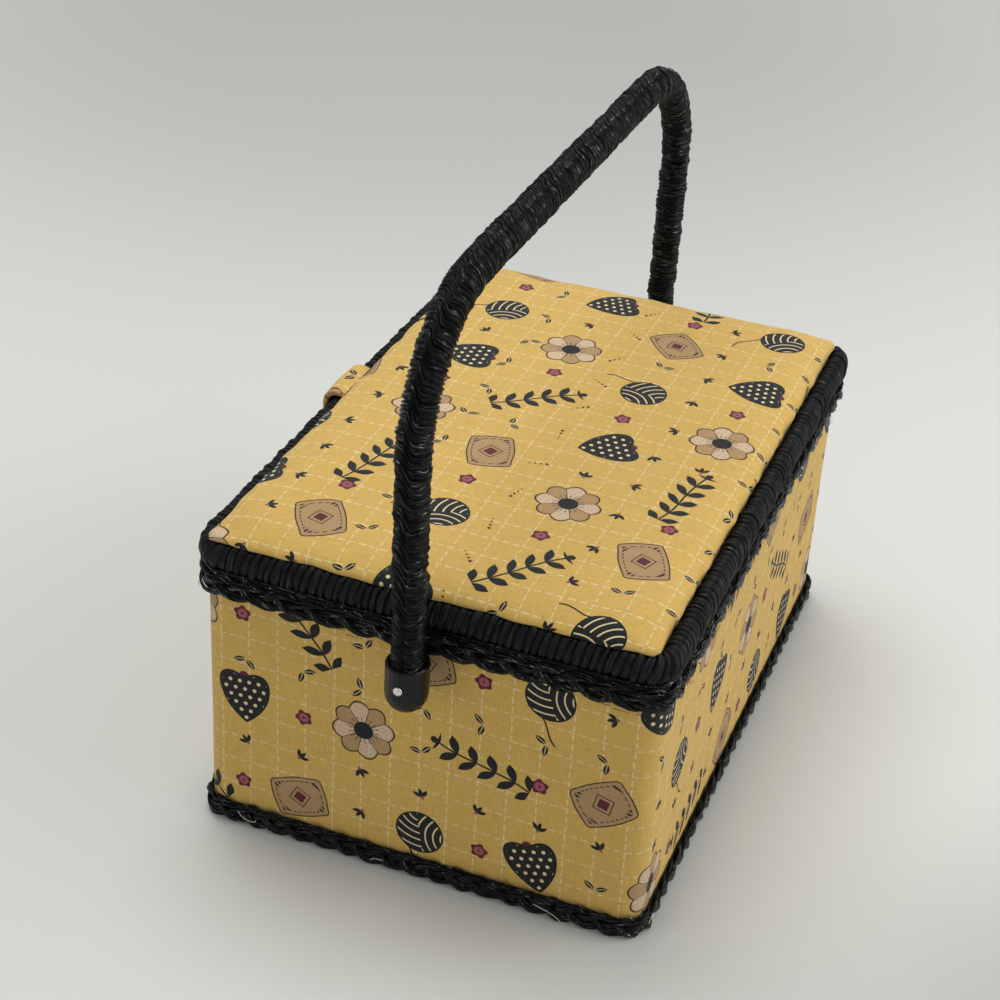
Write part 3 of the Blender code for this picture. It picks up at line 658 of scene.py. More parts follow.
def makeWallCover():
    p = coverCloth
    low, top, wall = coverLow.z, coverHigh.z, body["wall"]
    loop = bodyLoop()
    total = loopLength(loop)
    # the seam is at the front, where the strap hangs
    seam = total - (loop[1] - loop[2]) - pi / 2 * loop[2] - (loop[0] - loop[2])
    along = np.linspace(0, total, int(total / p["step"]) + 1)
    point, outward = loopPath(loop, along + seam)
    section = [(0.0, z) for z in np.linspace(low, top - p["lap"], p["rows"])]
    section += [(-p["lap"] * (1 - math.cos(angle)), top - p["lap"] * (1 - math.sin(angle)))
                for angle in (pi / 6, pi / 3, pi / 2)]
    section += [(-wall / 2, top), (-wall + p["hem"], top), (-wall, top - p["hem"]),
                (-wall, top - p["lap"])]
    sway = p["sway"] * np.sin(2 * pi * along / total * 3 + 1)
    points, places = [], []
    for (offset, z), drop in zip(section, runOf(section)):
        share = (z - low) / (top - low)
        calm = math.sin(pi * min(max(share, 0), 1)) ** 0.7 if offset == 0 else 0
        wave = p["wave"] * smoothNoise(along + 0.15 * z, total, 3, p["waves"]) * calm
        hems = max(0, 1 - share / p["footShare"]) + max(0, 1 - (1 - share) / p["rimShare"])
        pucker = p["pucker"] * smoothNoise(along, total, 5, p["puckers"]) * hems * (offset == 0)
        place = point + outward * (offset + wave + pucker)[:, None]
        points.append(np.column_stack([place, np.full(len(along), z)]))
        places.append(np.column_stack([along, drop + sway, 0 * along]))
    piece = newPiece("wallCover", points, gridFaces(len(section), len(along)), printedCotton, places)
    piece.data.flip_normals()
    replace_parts(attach(piece, "root"), "outer_cover")


makeWallCover()
print("wall cover made")

# Lining: plain cotton down the walls and over the floor, in rings that end near the middle

liningCloth = {"step": 0.004, "rows": 14, "floorRows": 24, "corner": 0.0049, "wrinkle": 0.00045,
               "thick": 0.0009, "above": 0.0001, "rise": 0.002, "lift": 0.0004, "flat": (0.56, 0.47),
               "area": 0.19}


def makeLining():
    p = liningCloth
    low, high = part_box("inner_lining")
    halfX, halfY = high.x - p["thick"], high.y - p["thick"]
    loop = (halfX, halfY, p["corner"])
    total = loopLength(loop)
    along = np.linspace(0, total, int(total / p["step"]) + 1)
    point, outward = loopPath(loop, along)
    floor = low.z + p["thick"] + p["above"]
    points, places = [], []
    for number, z in enumerate(np.linspace(high.z, floor + p["rise"], p["rows"])):
        calm = math.sin(pi * min(number / (p["rows"] - 1), 1)) ** 0.5
        wrinkle = p["wrinkle"] * (smoothNoise(along, total, 11, 90) - 1) * 0.4 * calm
        points.append(np.column_stack([point + outward * wrinkle[:, None], np.full(len(along), z)]))
        places.append(np.column_stack([along, np.full(len(along), z), 0 * along]))
    for number in range(p["floorRows"]):
        share = 1 - (number + 0.3) / (p["floorRows"] - 0.7)
        loop = (max(halfX * share, 0.0005), max(halfY * share, 0.0004),
                min(p["corner"], halfY * share * 0.4))
        ring = loopPath(loop, along / total * loopLength(loop))[0]
        lift = p["lift"] * (np.sin(ring[:, 0] * 90 + 1) * np.sin(ring[:, 1] * 70) + 1)
        lift *= min(1, number / 3)
        points.append(np.column_stack([ring, floor + lift]))
        places.append(np.column_stack([ring[:, 0] + 2, ring[:, 1], 0 * along]))
    piece = newPiece("liningCloth", points, gridFaces(len(points), len(along)), liningCotton, places)
    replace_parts(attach(piece, "root"), "inner_lining")


makeLining()
print("lining made")

# Lid: pad, lining and the wound trim

pad = {"edgeDrop": 0.0040, "crown": 0.0007, "roll": 0.0175, "bulgeRows": 6, "rollRows": 14,
       "crownRows": 18, "points": 320, "endReach": 0.0072, "frontReach": 0.0026, "backReach": 0.0010,
       "reachDepth": 0.030, "inset": 0.0059, "corner": 0.0030, "dimple": 0.0030, "dimplePlace": 0.0085,
       "dimpleSize": 0.0050, "dimpleTurn": 0.6, "dimpleShares": (0.5, 0.35, 1.0, 0.6), "pucker": 0.00022,
       "puckerDepth": 0.010, "ripple": 0.00035, "wave": 0.00030, "fill": 0.8}


def padRing(inset, base, count):
    halfX, halfY, corner = base[0] - inset, base[1] - inset, base[2] + 0.25 * inset
    return loopRing((halfX, halfY, max(min(corner, 0.45 * halfY), 1e-5)), count)


def bulgeOf(ring, base, share):
    # the stuffing pushes the pad out over the trim, most at the two ends
    p = pad
    side = np.clip((np.abs(ring) - base[:2] + p["reachDepth"]) / p["reachDepth"], 0, 1) ** 2
    ripple = p["ripple"] * (np.sin(ring[:, ::-1] * 173 + 1) + np.sin(ring[:, ::-1] * 311 + 2))
    ends = p["endReach"] * (1 - 0.12 * np.sin(ring[:, 1] * 41 + 0.5) ** 2)
    sides = np.where(ring[:, 1] > 0, p["backReach"], p["frontReach"])
    return ring + np.sign(ring) * (np.column_stack([ends, sides]) + ripple) * share * side


def padRows(base, low, high):
    # each row's inset, height, share of the bulge and distance over the roll
    p = pad
    seam, shelf = trimHigh.z - p["edgeDrop"], trimHigh.z - 0.0002
    rows = [(0.0, low, 0.0, 0.0), (0.0, seam - 0.0015, 0.0, 0.0)]
    for share in np.arange(1, p["bulgeRows"] + 1) / p["bulgeRows"]:
        rows.append((0.0, seam + (shelf - seam) * math.sin(pi / 2 * share), share, 0.0))
    roll = [(0.0, shelf)]
    for angle in pi / 2 * np.arange(1, p["rollRows"] + 1) / p["rollRows"]:
        roll.append((p["roll"] * (1 - math.cos(angle)),
                     shelf + (high - p["crown"] - shelf) * math.sin(angle) ** 0.92))
    rolled = runOf(roll)
    rows += [(inset, z, 1.0, run) for (inset, z), run in list(zip(roll, rolled))[1:]]
    for share in np.arange(1, p["crownRows"] + 1) / p["crownRows"]:
        inset = p["roll"] + (0.96 * base[1] - p["roll"]) * share
        rows.append((inset, roll[-1][1] + p["crown"] * math.sin(pi / 2 * share), 1.0,
                     rolled[-1] + inset - p["roll"]))
    return rows, shelf, rolled[-1]


def makePad():
    p = pad
    low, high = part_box("lid_pad")
    base = (body["halfX"] - p["inset"], body["halfY"] - p["inset"], p["corner"])
    rows, shelf, rolled = padRows(base, low.z, high.z)
    points, places = [], []
    for inset, z, share, flat in rows:
        ring = padRing(inset, base, p["points"])
        x, y = ring.T
        away = np.abs(np.array(base[:2]) - np.abs(ring))
        far = np.hypot(*away.T)
        turn = np.arctan2(away[:, 1], away[:, 0]) - pi / 4
        corner = np.where(x > 0, 0, 1) + np.where(y > 0, 0, 2)
        dimple = np.exp(-((far - p["dimplePlace"]) / p["dimpleSize"]) ** 2
                        - (turn / p["dimpleTurn"]) ** 2)
        edge = np.exp(-(away.min(1) / p["puckerDepth"]) ** 2)
        relief = p["pucker"] * edge * smoothNoise(x + 1.3 * y, 0.5, 8, 40)
        relief += p["wave"] * np.sin(x * 46 + 0.7) * np.sin(y * 52 + 1.9)
        relief -= p["dimple"] * dimple * np.array(p["dimpleShares"])[corner]
        placed = bulgeOf(ring, base, share)
        points.append(np.column_stack([placed, z + relief * (z > shelf + 1e-5)]))
        # the flat cloth reaches further out than the rolled edge does
        grow = rolled - flat - (p["roll"] - inset) if inset < p["roll"] else 0.0
        scale = 1 + grow / np.maximum(np.abs(placed).max(1), 0.02)
        places.append(np.column_stack([placed * scale[:, None], 0 * x]) + (0.21, 0.13, 0))
    piece = solidPiece("lidPad", points, solidFaces(len(rows), p["points"]), printedCotton, places)
    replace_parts(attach(piece, "lid"), "lid_pad")


lidLining = {"inset": 0.0001, "corner": 0.0046, "points": 200, "rings": 24, "lift": 0.0004,
             "wave": 0.0002, "flat": (0.291, 0.197)}


def makeLidLining():
    p = lidLining
    low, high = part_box("lid_lining")
    points, places = [], []
    for number in range(p["rings"]):
        share = 1 - number / (p["rings"] - 0.6)
        halfX, halfY = (high.x - p["inset"]) * share, (high.y - p["inset"]) * share
        ring = padRing(0, (halfX, halfY, min(p["corner"], 0.4 * halfY)), p["points"])
        wave = p["wave"] * np.sin(ring[:, 0] * 80) * np.sin(ring[:, 1] * 95) * min(number / 3, 1)
        points.append(np.column_stack([ring, low.z + p["lift"] - wave]))
        places.append(np.column_stack([ring + 0.5, 0 * wave]))
    piece = newPiece("lidLining", points, gridFaces(p["rings"], p["points"], True), liningCotton, places)
    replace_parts(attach(piece, "lid"), "lid_lining")


trim = {"inner": -0.0056, "pitch": 0.0035, "strands": 2, "perStrand": 5, "around": 30, "power": 0.6,
        "halfHigh": 0.0062, "low": 0.0003, "square": 2.15, "lip": 0.0012, "strandGroove": 0.00034,
        "wrapGroove": 0.00140, "wrapPower": 0.62, "uneven": 0.22, "heightSpread": 0.00048, "turns": 2,
        "wander": 0.00045, "hang": 0.00045, "crinkle": 0.00008, "crinkleSize": 0.0016, "fibre": 0.00026,
        "seed": 17}


def trimSection(p):
    # a rounded upright oval whose outer side hangs a little over the rim, begun at the inner side
    halfU = (trimHigh.x - body["halfX"] - p["inner"]) / 2
    angle = np.linspace(-pi, pi, 721)
    u, v = (half * np.sign(wave) * np.abs(wave) ** (2 / p["square"])
            for half, wave in ((halfU, np.cos(angle)), (p["halfHigh"], np.sin(angle))))
    v -= p["lip"] * np.clip(u / halfU + 0.1, 0, 1) ** 1.2 * np.clip(0.5 - v / p["halfHigh"], 0, 1)
    run = runOf(np.column_stack([u, v]))
    even = np.linspace(0, run[-1], p["around"] + 1)
    u, v = np.interp(even, run, u), np.interp(even, run, v)
    du, dv = np.gradient(u), np.gradient(v)
    du[0] = du[-1] = u[1] - u[-2]
    dv[0] = dv[-1] = v[1] - v[-2]
    size = np.hypot(du, dv)
    return u, v, dv / size, -du / size


def makeTrim():
    p = trim
    u, v, outU, outV = trimSection(p)
    centre = trimLow.z + p["low"] + p["halfHigh"] - p["strandGroove"]
    loop = bodyLoop((trimHigh.x - body["halfX"] + p["inner"]) / 2)
    total = loopLength(loop)
    wraps = round(total / p["pitch"])
    random = np.random.default_rng(p["seed"])
    strands = wraps * p["strands"]
    widths = 1 + p["uneven"] * random.uniform(-1, 1, strands)
    edges = np.concatenate([[0], np.cumsum(widths)]) / widths.sum() * total
    high = random.uniform(-1, 1, strands) * p["heightSpread"] * 0.4
    high += np.repeat(random.uniform(-1, 1, wraps) * p["heightSpread"], p["strands"])
    phase = random.uniform(0, 2 * pi, strands)
    hang = np.repeat(random.uniform(0, 1, wraps), p["strands"]) * p["hang"]
    share = np.arange(p["around"] + 1) / p["around"]
    strand = np.repeat(np.arange(strands), p["perStrand"])
    across = np.tile(np.arange(p["perStrand"]) / p["perStrand"], strands)
    s = edges[strand] + across * (edges[strand + 1] - edges[strand])
    ridge = np.where(across > 0, np.sin(pi * across) ** p["power"], 0)
    wrapAcross = (strand % p["strands"] + across) / p["strands"]
    rounded = np.where(wrapAcross > 0, np.sin(pi * wrapAcross) ** p["wrapPower"], 0)
    swell = p["wrapGroove"] * (rounded - 1) + p["strandGroove"] * ridge + rounded * high[strand]
    here, ahead = (np.sin(2 * pi * share + phase[number % strands][:, None])
                   for number in (strand, strand + 1))
    sway = (here * (1 - across[:, None]) + ahead * across[:, None]) * p["wander"]
    along = s[:, None] + p["turns"] * total / wraps * (share - 0.5) + sway
    at, outward = (flat.reshape(*along.shape, 2) for flat in loopPath(loop, along.ravel()))
    base = np.concatenate([at + outward * u[:, None], (centre + v)[:, None] + 0 * along[..., None]], -1)
    swell = swell[:, None] + p["crinkle"] * crinkle(base, p["crinkleSize"], p["seed"])
    reach = u + outU * swell
    under = np.clip(-v / p["halfHigh"], 0, 1) * np.clip(u / u.max() + 0.3, 0, 1)
    height = centre + v + outV * swell - (rounded * hang[strand])[:, None] * under
    points = np.concatenate([at + outward * reach[..., None], height[..., None]], -1)
    places = np.broadcast_arrays(s[:, None] / p["fibre"], share * 13, strand[:, None] * 3.7)
    places = np.stack(places, -1)
    # the last row closes the loop, and its fibres go on from the row before
    last = places[:1].copy()
    last[..., 0] += total / p["fibre"]
    last[..., 2] = strands * 3.7
    points, places = np.concatenate([points, points[:1]]), np.concatenate([places, last])
    piece = solidPiece("lidTrim", points, gridFaces(len(points), len(share)), trimCord, places,
                       "fibrePlace")
    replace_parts(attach(piece, "lid"), "lid_trim")


makePad()
makeLidLining()
makeTrim()
print("lid made")

# Three-strand braids of loose paper cord. Behind each braid lies a flat tape, and flat cords bind
# the cloth's top edge: outset, height, half thickness and half width of each. The rim's braid
# stays under the trim.

rimBraid = {"period": 0.044, "swing": 0.0038, "depth": 0.0008, "lift": -0.0004, "yarns": 7,
            "bundle": 0.0016, "bundleDeep": 0.0010, "bundleTurn": 0.038, "yarn": 0.00078,
            "flat": 0.00030, "roll": 0.8, "sides": 6, "step": 0.0019, "loose": 0.00045,
            "thicker": 0.22, "crinkle": 0.00008, "crinkleSize": 0.0016, "twist": 0.009, "fibre": 2.2,
            "fibreRun": 0.0032, "seed": 5, "inner": 0.0003, "tapeCrinkle": 0.00005, "tapeSway": 0.0002,
            "tapeThicker": 0.12,
            "lowest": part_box("rim_braid")[0].z - 0.0008, "highest": trimLow.z - 0.0018,
            "edging": [(0.0012, 0.1301, 0.0006, 0.0060), (0.0013, coverHigh.z - 0.0004, 0.0016, 0.0006),
                       (-0.0007, coverHigh.z, 0.0013, 0.0004)]}
baseBraid = {**rimBraid, "period": 0.034, "swing": 0.0036, "lift": 0.0009, "yarns": 5,
             "bundle": 0.0014, "bundleDeep": 0.0006, "bundleTurn": 0.052, "yarn": 0.00100,
             "flat": 0.00034, "roll": 0.6, "step": 0.0016, "loose": 0.00050,
             "crinkle": 0.00010, "fibre": 2.9, "seed": 9,
             "lowest": 0.0003, "highest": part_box("base_braid")[1].z + 0.0022,
             "edging": [(0.0010, 0.0058, 0.0005, 0.0050)]}


def tubeAround(centre, ahead, outward, lean, wide, flat, sides, roll=None):
    # a flattened tube round a line, its width across the outward direction
    roll = np.zeros(len(centre)) if roll is None else roll
    ring = np.linspace(0, 2 * pi, sides, endpoint=False)
    tangent = unit(ahead)
    side = unit(np.cross(tangent, np.column_stack([outward, np.full(len(centre), lean)])))
    face = np.cross(side, tangent)
    c, s = np.cos(roll)[:, None], np.sin(roll)[:, None]
    side, face = side * c + face * s, face * c - side * s
    return centre[:, None] + side[:, None] * (wide[:, None] * np.cos(ring))[..., None] \
        + face[:, None] * (flat[:, None] * np.sin(ring))[..., None], ring


def yarnTube(loop, along, out, height, width, flat, roll, seed, crinkleReach, p):
    # one flattened yarn along the rounded loop, with its fibre places
    at, outward = loopPath(loop, along)
    centre = np.column_stack([at + outward * out[:, None], height])
    ahead = np.roll(centre, -1, 0) - np.roll(centre, 1, 0)
    tube, ring = tubeAround(centre, ahead, outward, 0.0, width, flat, p["sides"], roll)
    swell = crinkle(tube, p["crinkleSize"], seed) * crinkleReach
    tube = tube + unit(tube - centre[:, None]) * swell[..., None]
    turn = ring + along[:, None] / p["twist"] * 2 * pi
    places = np.stack([np.cos(turn) * p["fibre"], np.sin(turn) * p["fibre"],
                       0 * turn + along[:, None] / p["fibreRun"] + seed * 3.3], -1)
    return np.concatenate([tube, tube[:1]]), np.concatenate([places, places[:1]])


def makeBraid(name, node, p):
    # three strands plaited flat, each a loosely turned bundle of yarns
    low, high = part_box(node)
    middle = (p["inner"] + high.x - body["halfX"]) / 2
    height = (low.z + high.z) / 2 + p["lift"]
    loop = bodyLoop(middle)
    total = loopLength(loop)
    periods = round(total / p["period"])
    turns = round(total / p["bundleTurn"])
    count = int(total / p["step"])
    s = np.arange(count) * total / count

    def noise(seed, waves):
        return smoothNoise(s, total, seed, waves)

    tubes = []
    for strand in range(3):
        phase = 2 * pi * (s * periods / total + strand / 3) + 0.3 * noise(p["seed"] + 3, 30)
        for yarn in range(p["yarns"]):
            seed = p["seed"] * 100 + strand * 10 + yarn
            loose = noise(seed, periods * 3) * p["loose"]
            slip = noise(seed + 50, periods * 2) * p["loose"]
            spin = 2 * pi * (s * turns / total + yarn / p["yarns"]) + 0.4 * noise(seed + 20, 40)
            across = p["swing"] * np.sin(phase) + p["bundle"] * np.cos(spin) + loose
            deep = p["depth"] * np.sin(2 * phase) + p["bundleDeep"] * np.sin(spin) + slip * 0.6
            thick = 1 + p["thicker"] * noise(seed + 90, periods * 4)
            roll = p["roll"] * noise(seed + 70, periods * 4)
            rise = np.clip(height + across, p["lowest"] + p["yarn"], p["highest"] - p["flat"])
            tubes.append(yarnTube(loop, s, deep, rise, p["yarn"] * thick, p["flat"] * thick, roll, seed,
                                  p["crinkle"], p))
    for number, (out, rise, width, flat) in enumerate(p["edging"]):
        seed = p["seed"] * 100 + 70 + number
        sway = noise(seed, periods * 3)
        tubes.append(yarnTube(loop, s, out - middle + p["tapeSway"] * sway, rise + 0 * s, flat + 0 * s,
                              width * (1 + p["tapeThicker"] * sway), 0 * s, seed, p["tapeCrinkle"], p))
    points, places = zip(*tubes)
    faces = np.concatenate([gridFaces(count + 1, p["sides"], True, number * (count + 1) * p["sides"])
                            for number in range(len(tubes))])
    piece = solidPiece(name, points, faces, braidCord, places, "fibrePlace")
    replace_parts(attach(piece, "root"), node)


makeBraid("rimBraid", "rim_braid", rimBraid)
makeBraid("baseBraid", "base_braid", baseBraid)
print("braids made")

# Loose fibres that have sprung out of the braids and the trim

stray = {"body": "root", "fall": 0.0016, "length": (0.003, 0.009), "lift": 0.0006, "radius": 0.00013,
         "cornerShare": 0.3, "cornerSpread": 0.010, "lowest": 0.0003, "lean": 0.3, "sides": 4}
strays = {
    "rimStrays": {**stray, "count": 120, "out": 0.0042, "low": 0.1225, "high": 0.1345, "fall": 0.0022,
                  "seed": 31},
    "baseStrays": {**stray, "count": 80, "out": 0.0030, "low": 0.0030, "high": 0.0115, "seed": 32},
    "trimStrays": {**stray, "body": "lid", "count": 60, "out": 0.0040, "low": 0.1385, "high": 0.1450,
                   "length": (0.002, 0.006), "lift": 0.0004, "radius": 0.00012, "seed": 33},
}


def fibrePiece(name, fibres, lean, sides, material):
    # one piece of short tubes: line, outward direction, radius and fibre places of each
    points, places, faces = [], [], []
    for number, (centre, outward, radius, start, run) in enumerate(fibres):
        ahead = np.gradient(centre, axis=0)
        tube, ring = tubeAround(centre, ahead, outward, lean, radius, radius, sides)
        points.append(tube.reshape(-1, 3))
        spots = np.broadcast_arrays(np.cos(ring) + start, np.sin(ring), run[:, None])
        places.append(np.stack(spots, -1).reshape(-1, 3))
        faces += solidFaces(len(centre), sides, number * len(centre) * sides)
    return solidPiece(name, points, faces, material, places, "fibrePlace")


def makeStrays(name, p):
    random = np.random.default_rng(p["seed"])
    loop = bodyLoop(p["out"])
    halfX, halfY, corner = loop
    total = loopLength(loop)
    cornerPlaces = [halfY - corner / 2, halfY + 2 * halfX - 2.5 * corner,
                    3 * halfY + 2 * halfX - 4 * corner, 3 * halfY + 4 * halfX - 6 * corner]
    t = np.linspace(0, 1, 9)
    fibres = []
    for number in range(p["count"]):
        start = random.uniform(0, total)
        if random.random() < p["cornerShare"]:
            start = cornerPlaces[number % 4] + random.normal() * p["cornerSpread"]
        length = random.uniform(*p["length"]) * random.choice([-1, 1])
        z = random.uniform(p["low"], p["high"]) + random.uniform(-0.9, 0.5) * p["fall"] * t ** 1.6
        lift = random.uniform(0.2, 1) * p["lift"] * np.sin(pi * t * random.uniform(0.6, 1.0))
        at, outward = loopPath(loop, start + length * t + 0.0006 * np.sin(t * 5 + number))
        centre = np.column_stack([at + outward * lift[:, None], np.maximum(z, p["lowest"])])
        fibres.append((centre, outward, p["radius"] * (1.15 - 0.75 * t), number, t * 3))
    piece = fibrePiece(name, fibres, p["lean"], p["sides"], braidCord)
    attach(piece, p["body"])


for name, p in strays.items():
    makeStrays(name, p)

# a few pale sewing threads caught in the base braid: place along it, height, length, sweep and curl
looseThreads = {
    "radius": 0.00017, "out": 0.0042, "points": 26, "lean": 0.2, "sides": 6,
    "threads": [(-0.086, 0.0088, 0.011, -0.0052, 2.6), (0.058, 0.0075, 0.015, -0.0070, 0.9),
                (0.112, 0.0070, 0.010, 0.0030, 4.2), (-0.020, 0.0040, 0.007, 0.0022, 1.6)],
}


def makeThreads():
    p = looseThreads
    t = np.linspace(0, 1, p["points"])
    fibres = []
    for number, (start, height, length, sweep, curl) in enumerate(p["threads"]):
        along = start + length * (t - 0.12 * np.sin(curl * t * 2)) * np.cos(curl * 0.3 * t)
        at, outward = loopPath(bodyLoop(p["out"]), along)
        z = height + sweep * np.sin(curl * t) * t ** 0.5
        centre = np.column_stack([at + outward * (0.0005 * np.sin(t * 5 + number))[:, None], z])
        fibres.append((centre, outward, p["radius"] + 0 * t, 0, t * 30))
    piece = fibrePiece("looseThreads", fibres, p["lean"], p["sides"], paleThread)
    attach(piece, "root")


makeThreads()
print("loose fibres made")

# Windings of paper cord: the handle's, and the turns that tie the lid to the rim

handlePlan = {"legX": 0.1687, "spread": 0.0017, "bend": 0.0594, "barZ": 0.28225, "socketTop": 0.12825,
              "foot": 0.1238}
handleWinding = {"pitch": 0.0038, "strands": 2, "perStrand": 6, "starts": 2, "around": 40,
                 "crossing": 0.055, "legRadius": 0.0071, "barRadius": 0.0078, "strandGroove": 0.00095,
                 "cordGroove": 0.00060, "uneven": 0.22, "strandHeights": 0.00030, "heights": 0.00035,
                 "knot": 0.00045, "knotTurn": 0.6, "wander": 0.00042, "wanderSize": 0.0052,
                 "lump": 0.00030, "lumpSize": 0.0075, "crinkle": 0.00012, "crinkleSize": 0.0017,
                 "cordRound": 0.6, "strandRound": 0.85, "fibre": 0.00026, "seed": 21}
hingeWinding = {**handleWinding, "pitch": 0.0020, "perStrand": 4, "starts": 1, "around": 12,
                "crossing": 0.2, "legRadius": 0.00120, "barRadius": 0.00120, "strandGroove": 0.00014,
                "cordGroove": 0.00018, "uneven": 0.1, "strandHeights": 0.0, "heights": 0.00004,
                "knot": 0.0, "wander": 0.00004, "lump": 0.00002, "crinkle": 0.00002,
                "fibre": 0.00022, "seed": 4}


def handleLine(p):
    # the handle's middle line, from the +X foot over the bar
    lean = math.atan2(p["spread"], p["barZ"] - p["bend"] - p["socketTop"])
    centreX = p["legX"] + p["spread"] - p["bend"] * math.cos(lean)
    centreZ = p["barZ"] - p["bend"]
    half = [(p["legX"], 0.0, p["foot"]), (p["legX"], 0.0, p["socketTop"])]
    for angle in np.linspace(-lean, pi / 2, 120):
        half.append((centreX + p["bend"] * math.cos(angle), 0.0, centreZ + p["bend"] * math.sin(angle)))
    return np.array(half + [(-x, y, z) for x, y, z in reversed(half)])


def makeWinding(name, line, p):
    # Rows of the grid follow the strands round the core, so that every groove is a row.
    # A strand runs level round the core and steps on along the outer side.
    step = np.linalg.norm(np.diff(line, axis=0), axis=1)
    line = line[np.concatenate([[True], step > 1e-7])]
    length = runOf(line)
    total = length[-1]
    perCord = p["strands"] * p["perStrand"]
    spacing = p["pitch"] / perCord
    lead = p["pitch"] * p["starts"]
    row = np.arange(int((total + lead) / spacing) + 2)
    share = np.arange(p["around"] + 1) / p["around"]
    angle = 2 * pi * (share - 0.5) + 0 * row[:, None]
    climb = np.clip((share - 0.5) / (2 * p["crossing"]) + 0.5, 0, 1)
    climb = 0.9 * climb * climb * (3 - 2 * climb) + 0.1 * share
    random = np.random.default_rng(p["seed"])
    strand, cord = row // p["perStrand"], row // perCord
    acrossStrand = (row % p["perStrand"]) / p["perStrand"]
    acrossCord = (row % perCord) / perCord
    widths = 1 + p["uneven"] * random.uniform(-1, 1, strand[-1] + 1)
    edges = np.concatenate([[0], np.cumsum(widths)]) / widths.mean() * p["pitch"] / p["strands"]
    s = edges[strand] + acrossStrand * (edges[strand + 1] - edges[strand])
    s = s[:, None] - lead * climb
    rounded = np.where(acrossCord > 0, np.sin(pi * acrossCord) ** p["cordRound"], 0)
    ridge = np.where(acrossStrand > 0, np.sin(pi * acrossStrand) ** p["strandRound"], 0)
    strandHigh = random.uniform(-1, 1, strand[-1] + 1) * p["strandHeights"]
    high = random.uniform(-1, 1, cord[-1] + 1) * p["heights"]
    phase = random.uniform(0, 2 * pi, cord[-1] + 1)
    knot = random.uniform(-0.5, 1, cord[-1] + 1) * p["knot"]
    swell = p["cordGroove"] * (rounded - 1) + p["strandGroove"] * (ridge - 1) + ridge * strandHigh[strand]
    swell = swell[:, None] + (rounded * high[cord])[:, None] * np.sin(angle + phase[cord][:, None]) \
        * (0.5 + 0.5 * np.cos(angle))
    swell = swell + (rounded * knot[cord])[:, None] * np.exp(-(angle / p["knotTurn"]) ** 2)
    across = np.array([0.0, 1.0, 0.0])

    def centreAt(place):
        return np.stack([np.interp(place, length, line[:, k]) for k in range(3)], -1)

    def spotAt(place, grow):
        centre = centreAt(np.clip(place, 0, total))
        inside = np.clip(place, 0.0006, total - 0.0006)
        outward = np.cross(across, unit(centreAt(inside + 0.0006) - centreAt(inside - 0.0006)))
        rise = (centre[..., 2] - line[0, 2]) / max(line[:, 2].max() - line[0, 2], 1e-6)
        radius = p["legRadius"] + (p["barRadius"] - p["legRadius"]) * np.clip(rise, 0, 1) + grow
        return centre + (np.cos(angle) * radius)[..., None] * outward \
            + (np.sin(angle) * radius)[..., None] * across

    plain = spotAt(s, 0)
    swell = swell + p["lump"] * crinkle(plain, p["lumpSize"], p["seed"] + 2)
    swell = swell + p["crinkle"] * crinkle(plain, p["crinkleSize"], p["seed"] + 3)
    spot = spotAt(s + p["wander"] * crinkle(plain, p["wanderSize"], p["seed"] + 1), swell)
    places = np.stack([np.cos(angle) * 2.6 + (strand * 1.7)[:, None], np.sin(angle) * 2.6,
                       (row * spacing / p["fibre"])[:, None] + 0 * angle], -1)
    return solidPiece(name, spot, gridFaces(len(row), len(share)), handleCord, places, "fibrePlace")


handleWrap = makeWinding("handleWinding", handleLine(handlePlan), handleWinding)
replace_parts(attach(handleWrap, "handle"), "handle_wrap")
for hand in ("left", "right"):
    low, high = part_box("hinge_cord_" + hand)
    axisY, axisZ = (low.y + high.y) / 2, (low.z + high.z) / 2
    line = np.array([(x, axisY, axisZ) for x in np.linspace(low.x, high.x, 40)])
    tie = makeWinding("hingeTie" + hand.capitalize(), line, hingeWinding)
    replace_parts(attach(tie, "root"), "hinge_cord_" + hand)
print("windings made")

# Strap: a folded and stitched band of the cotton that bends between the lid and its flap

strap = {"width": 0.0310, "thick": 0.0022, "puff": 0.00028, "corner": 0.0090, "steps": 70,
         "bulge": 0.0009, "edgeRound": 0.0009, "drop": 0.0045, "reach": 0.0053, "over": 0.0042,
         "stitch": 0.00035, "stitchInset": 0.003, "stitchSize": 0.0006, "bendHigh": 0.1468,
         "bendLow": 0.1408}


def strapLine():
    # middle line of the band in the YZ plane, from the pad's edge over the trim and down, and the
    # number of its last point on the trim
    p = strap
    flapLow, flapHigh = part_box("strap_flap")
    midY = (flapLow.y + flapHigh.y) / 2
    shoulder = trimHigh.z - p["drop"]
    reach = p["reach"] + p["thick"] / 2
    innerY = -(body["halfY"] - body["wall"] + p["drop"])
    outerY = -(body["halfY"] + p["over"] - p["drop"])
    turns = [(innerY, angle) for angle in np.linspace(math.radians(66), pi / 2, 8)]
    turns += [(outerY, angle) for angle in np.linspace(pi / 2, pi, 16)]
    line = [(y + reach * math.cos(angle), shoulder + reach * math.sin(angle)) for y, angle in turns]
    return np.array(line + [(midY, flapLow.z)]), len(line) - 1, midY


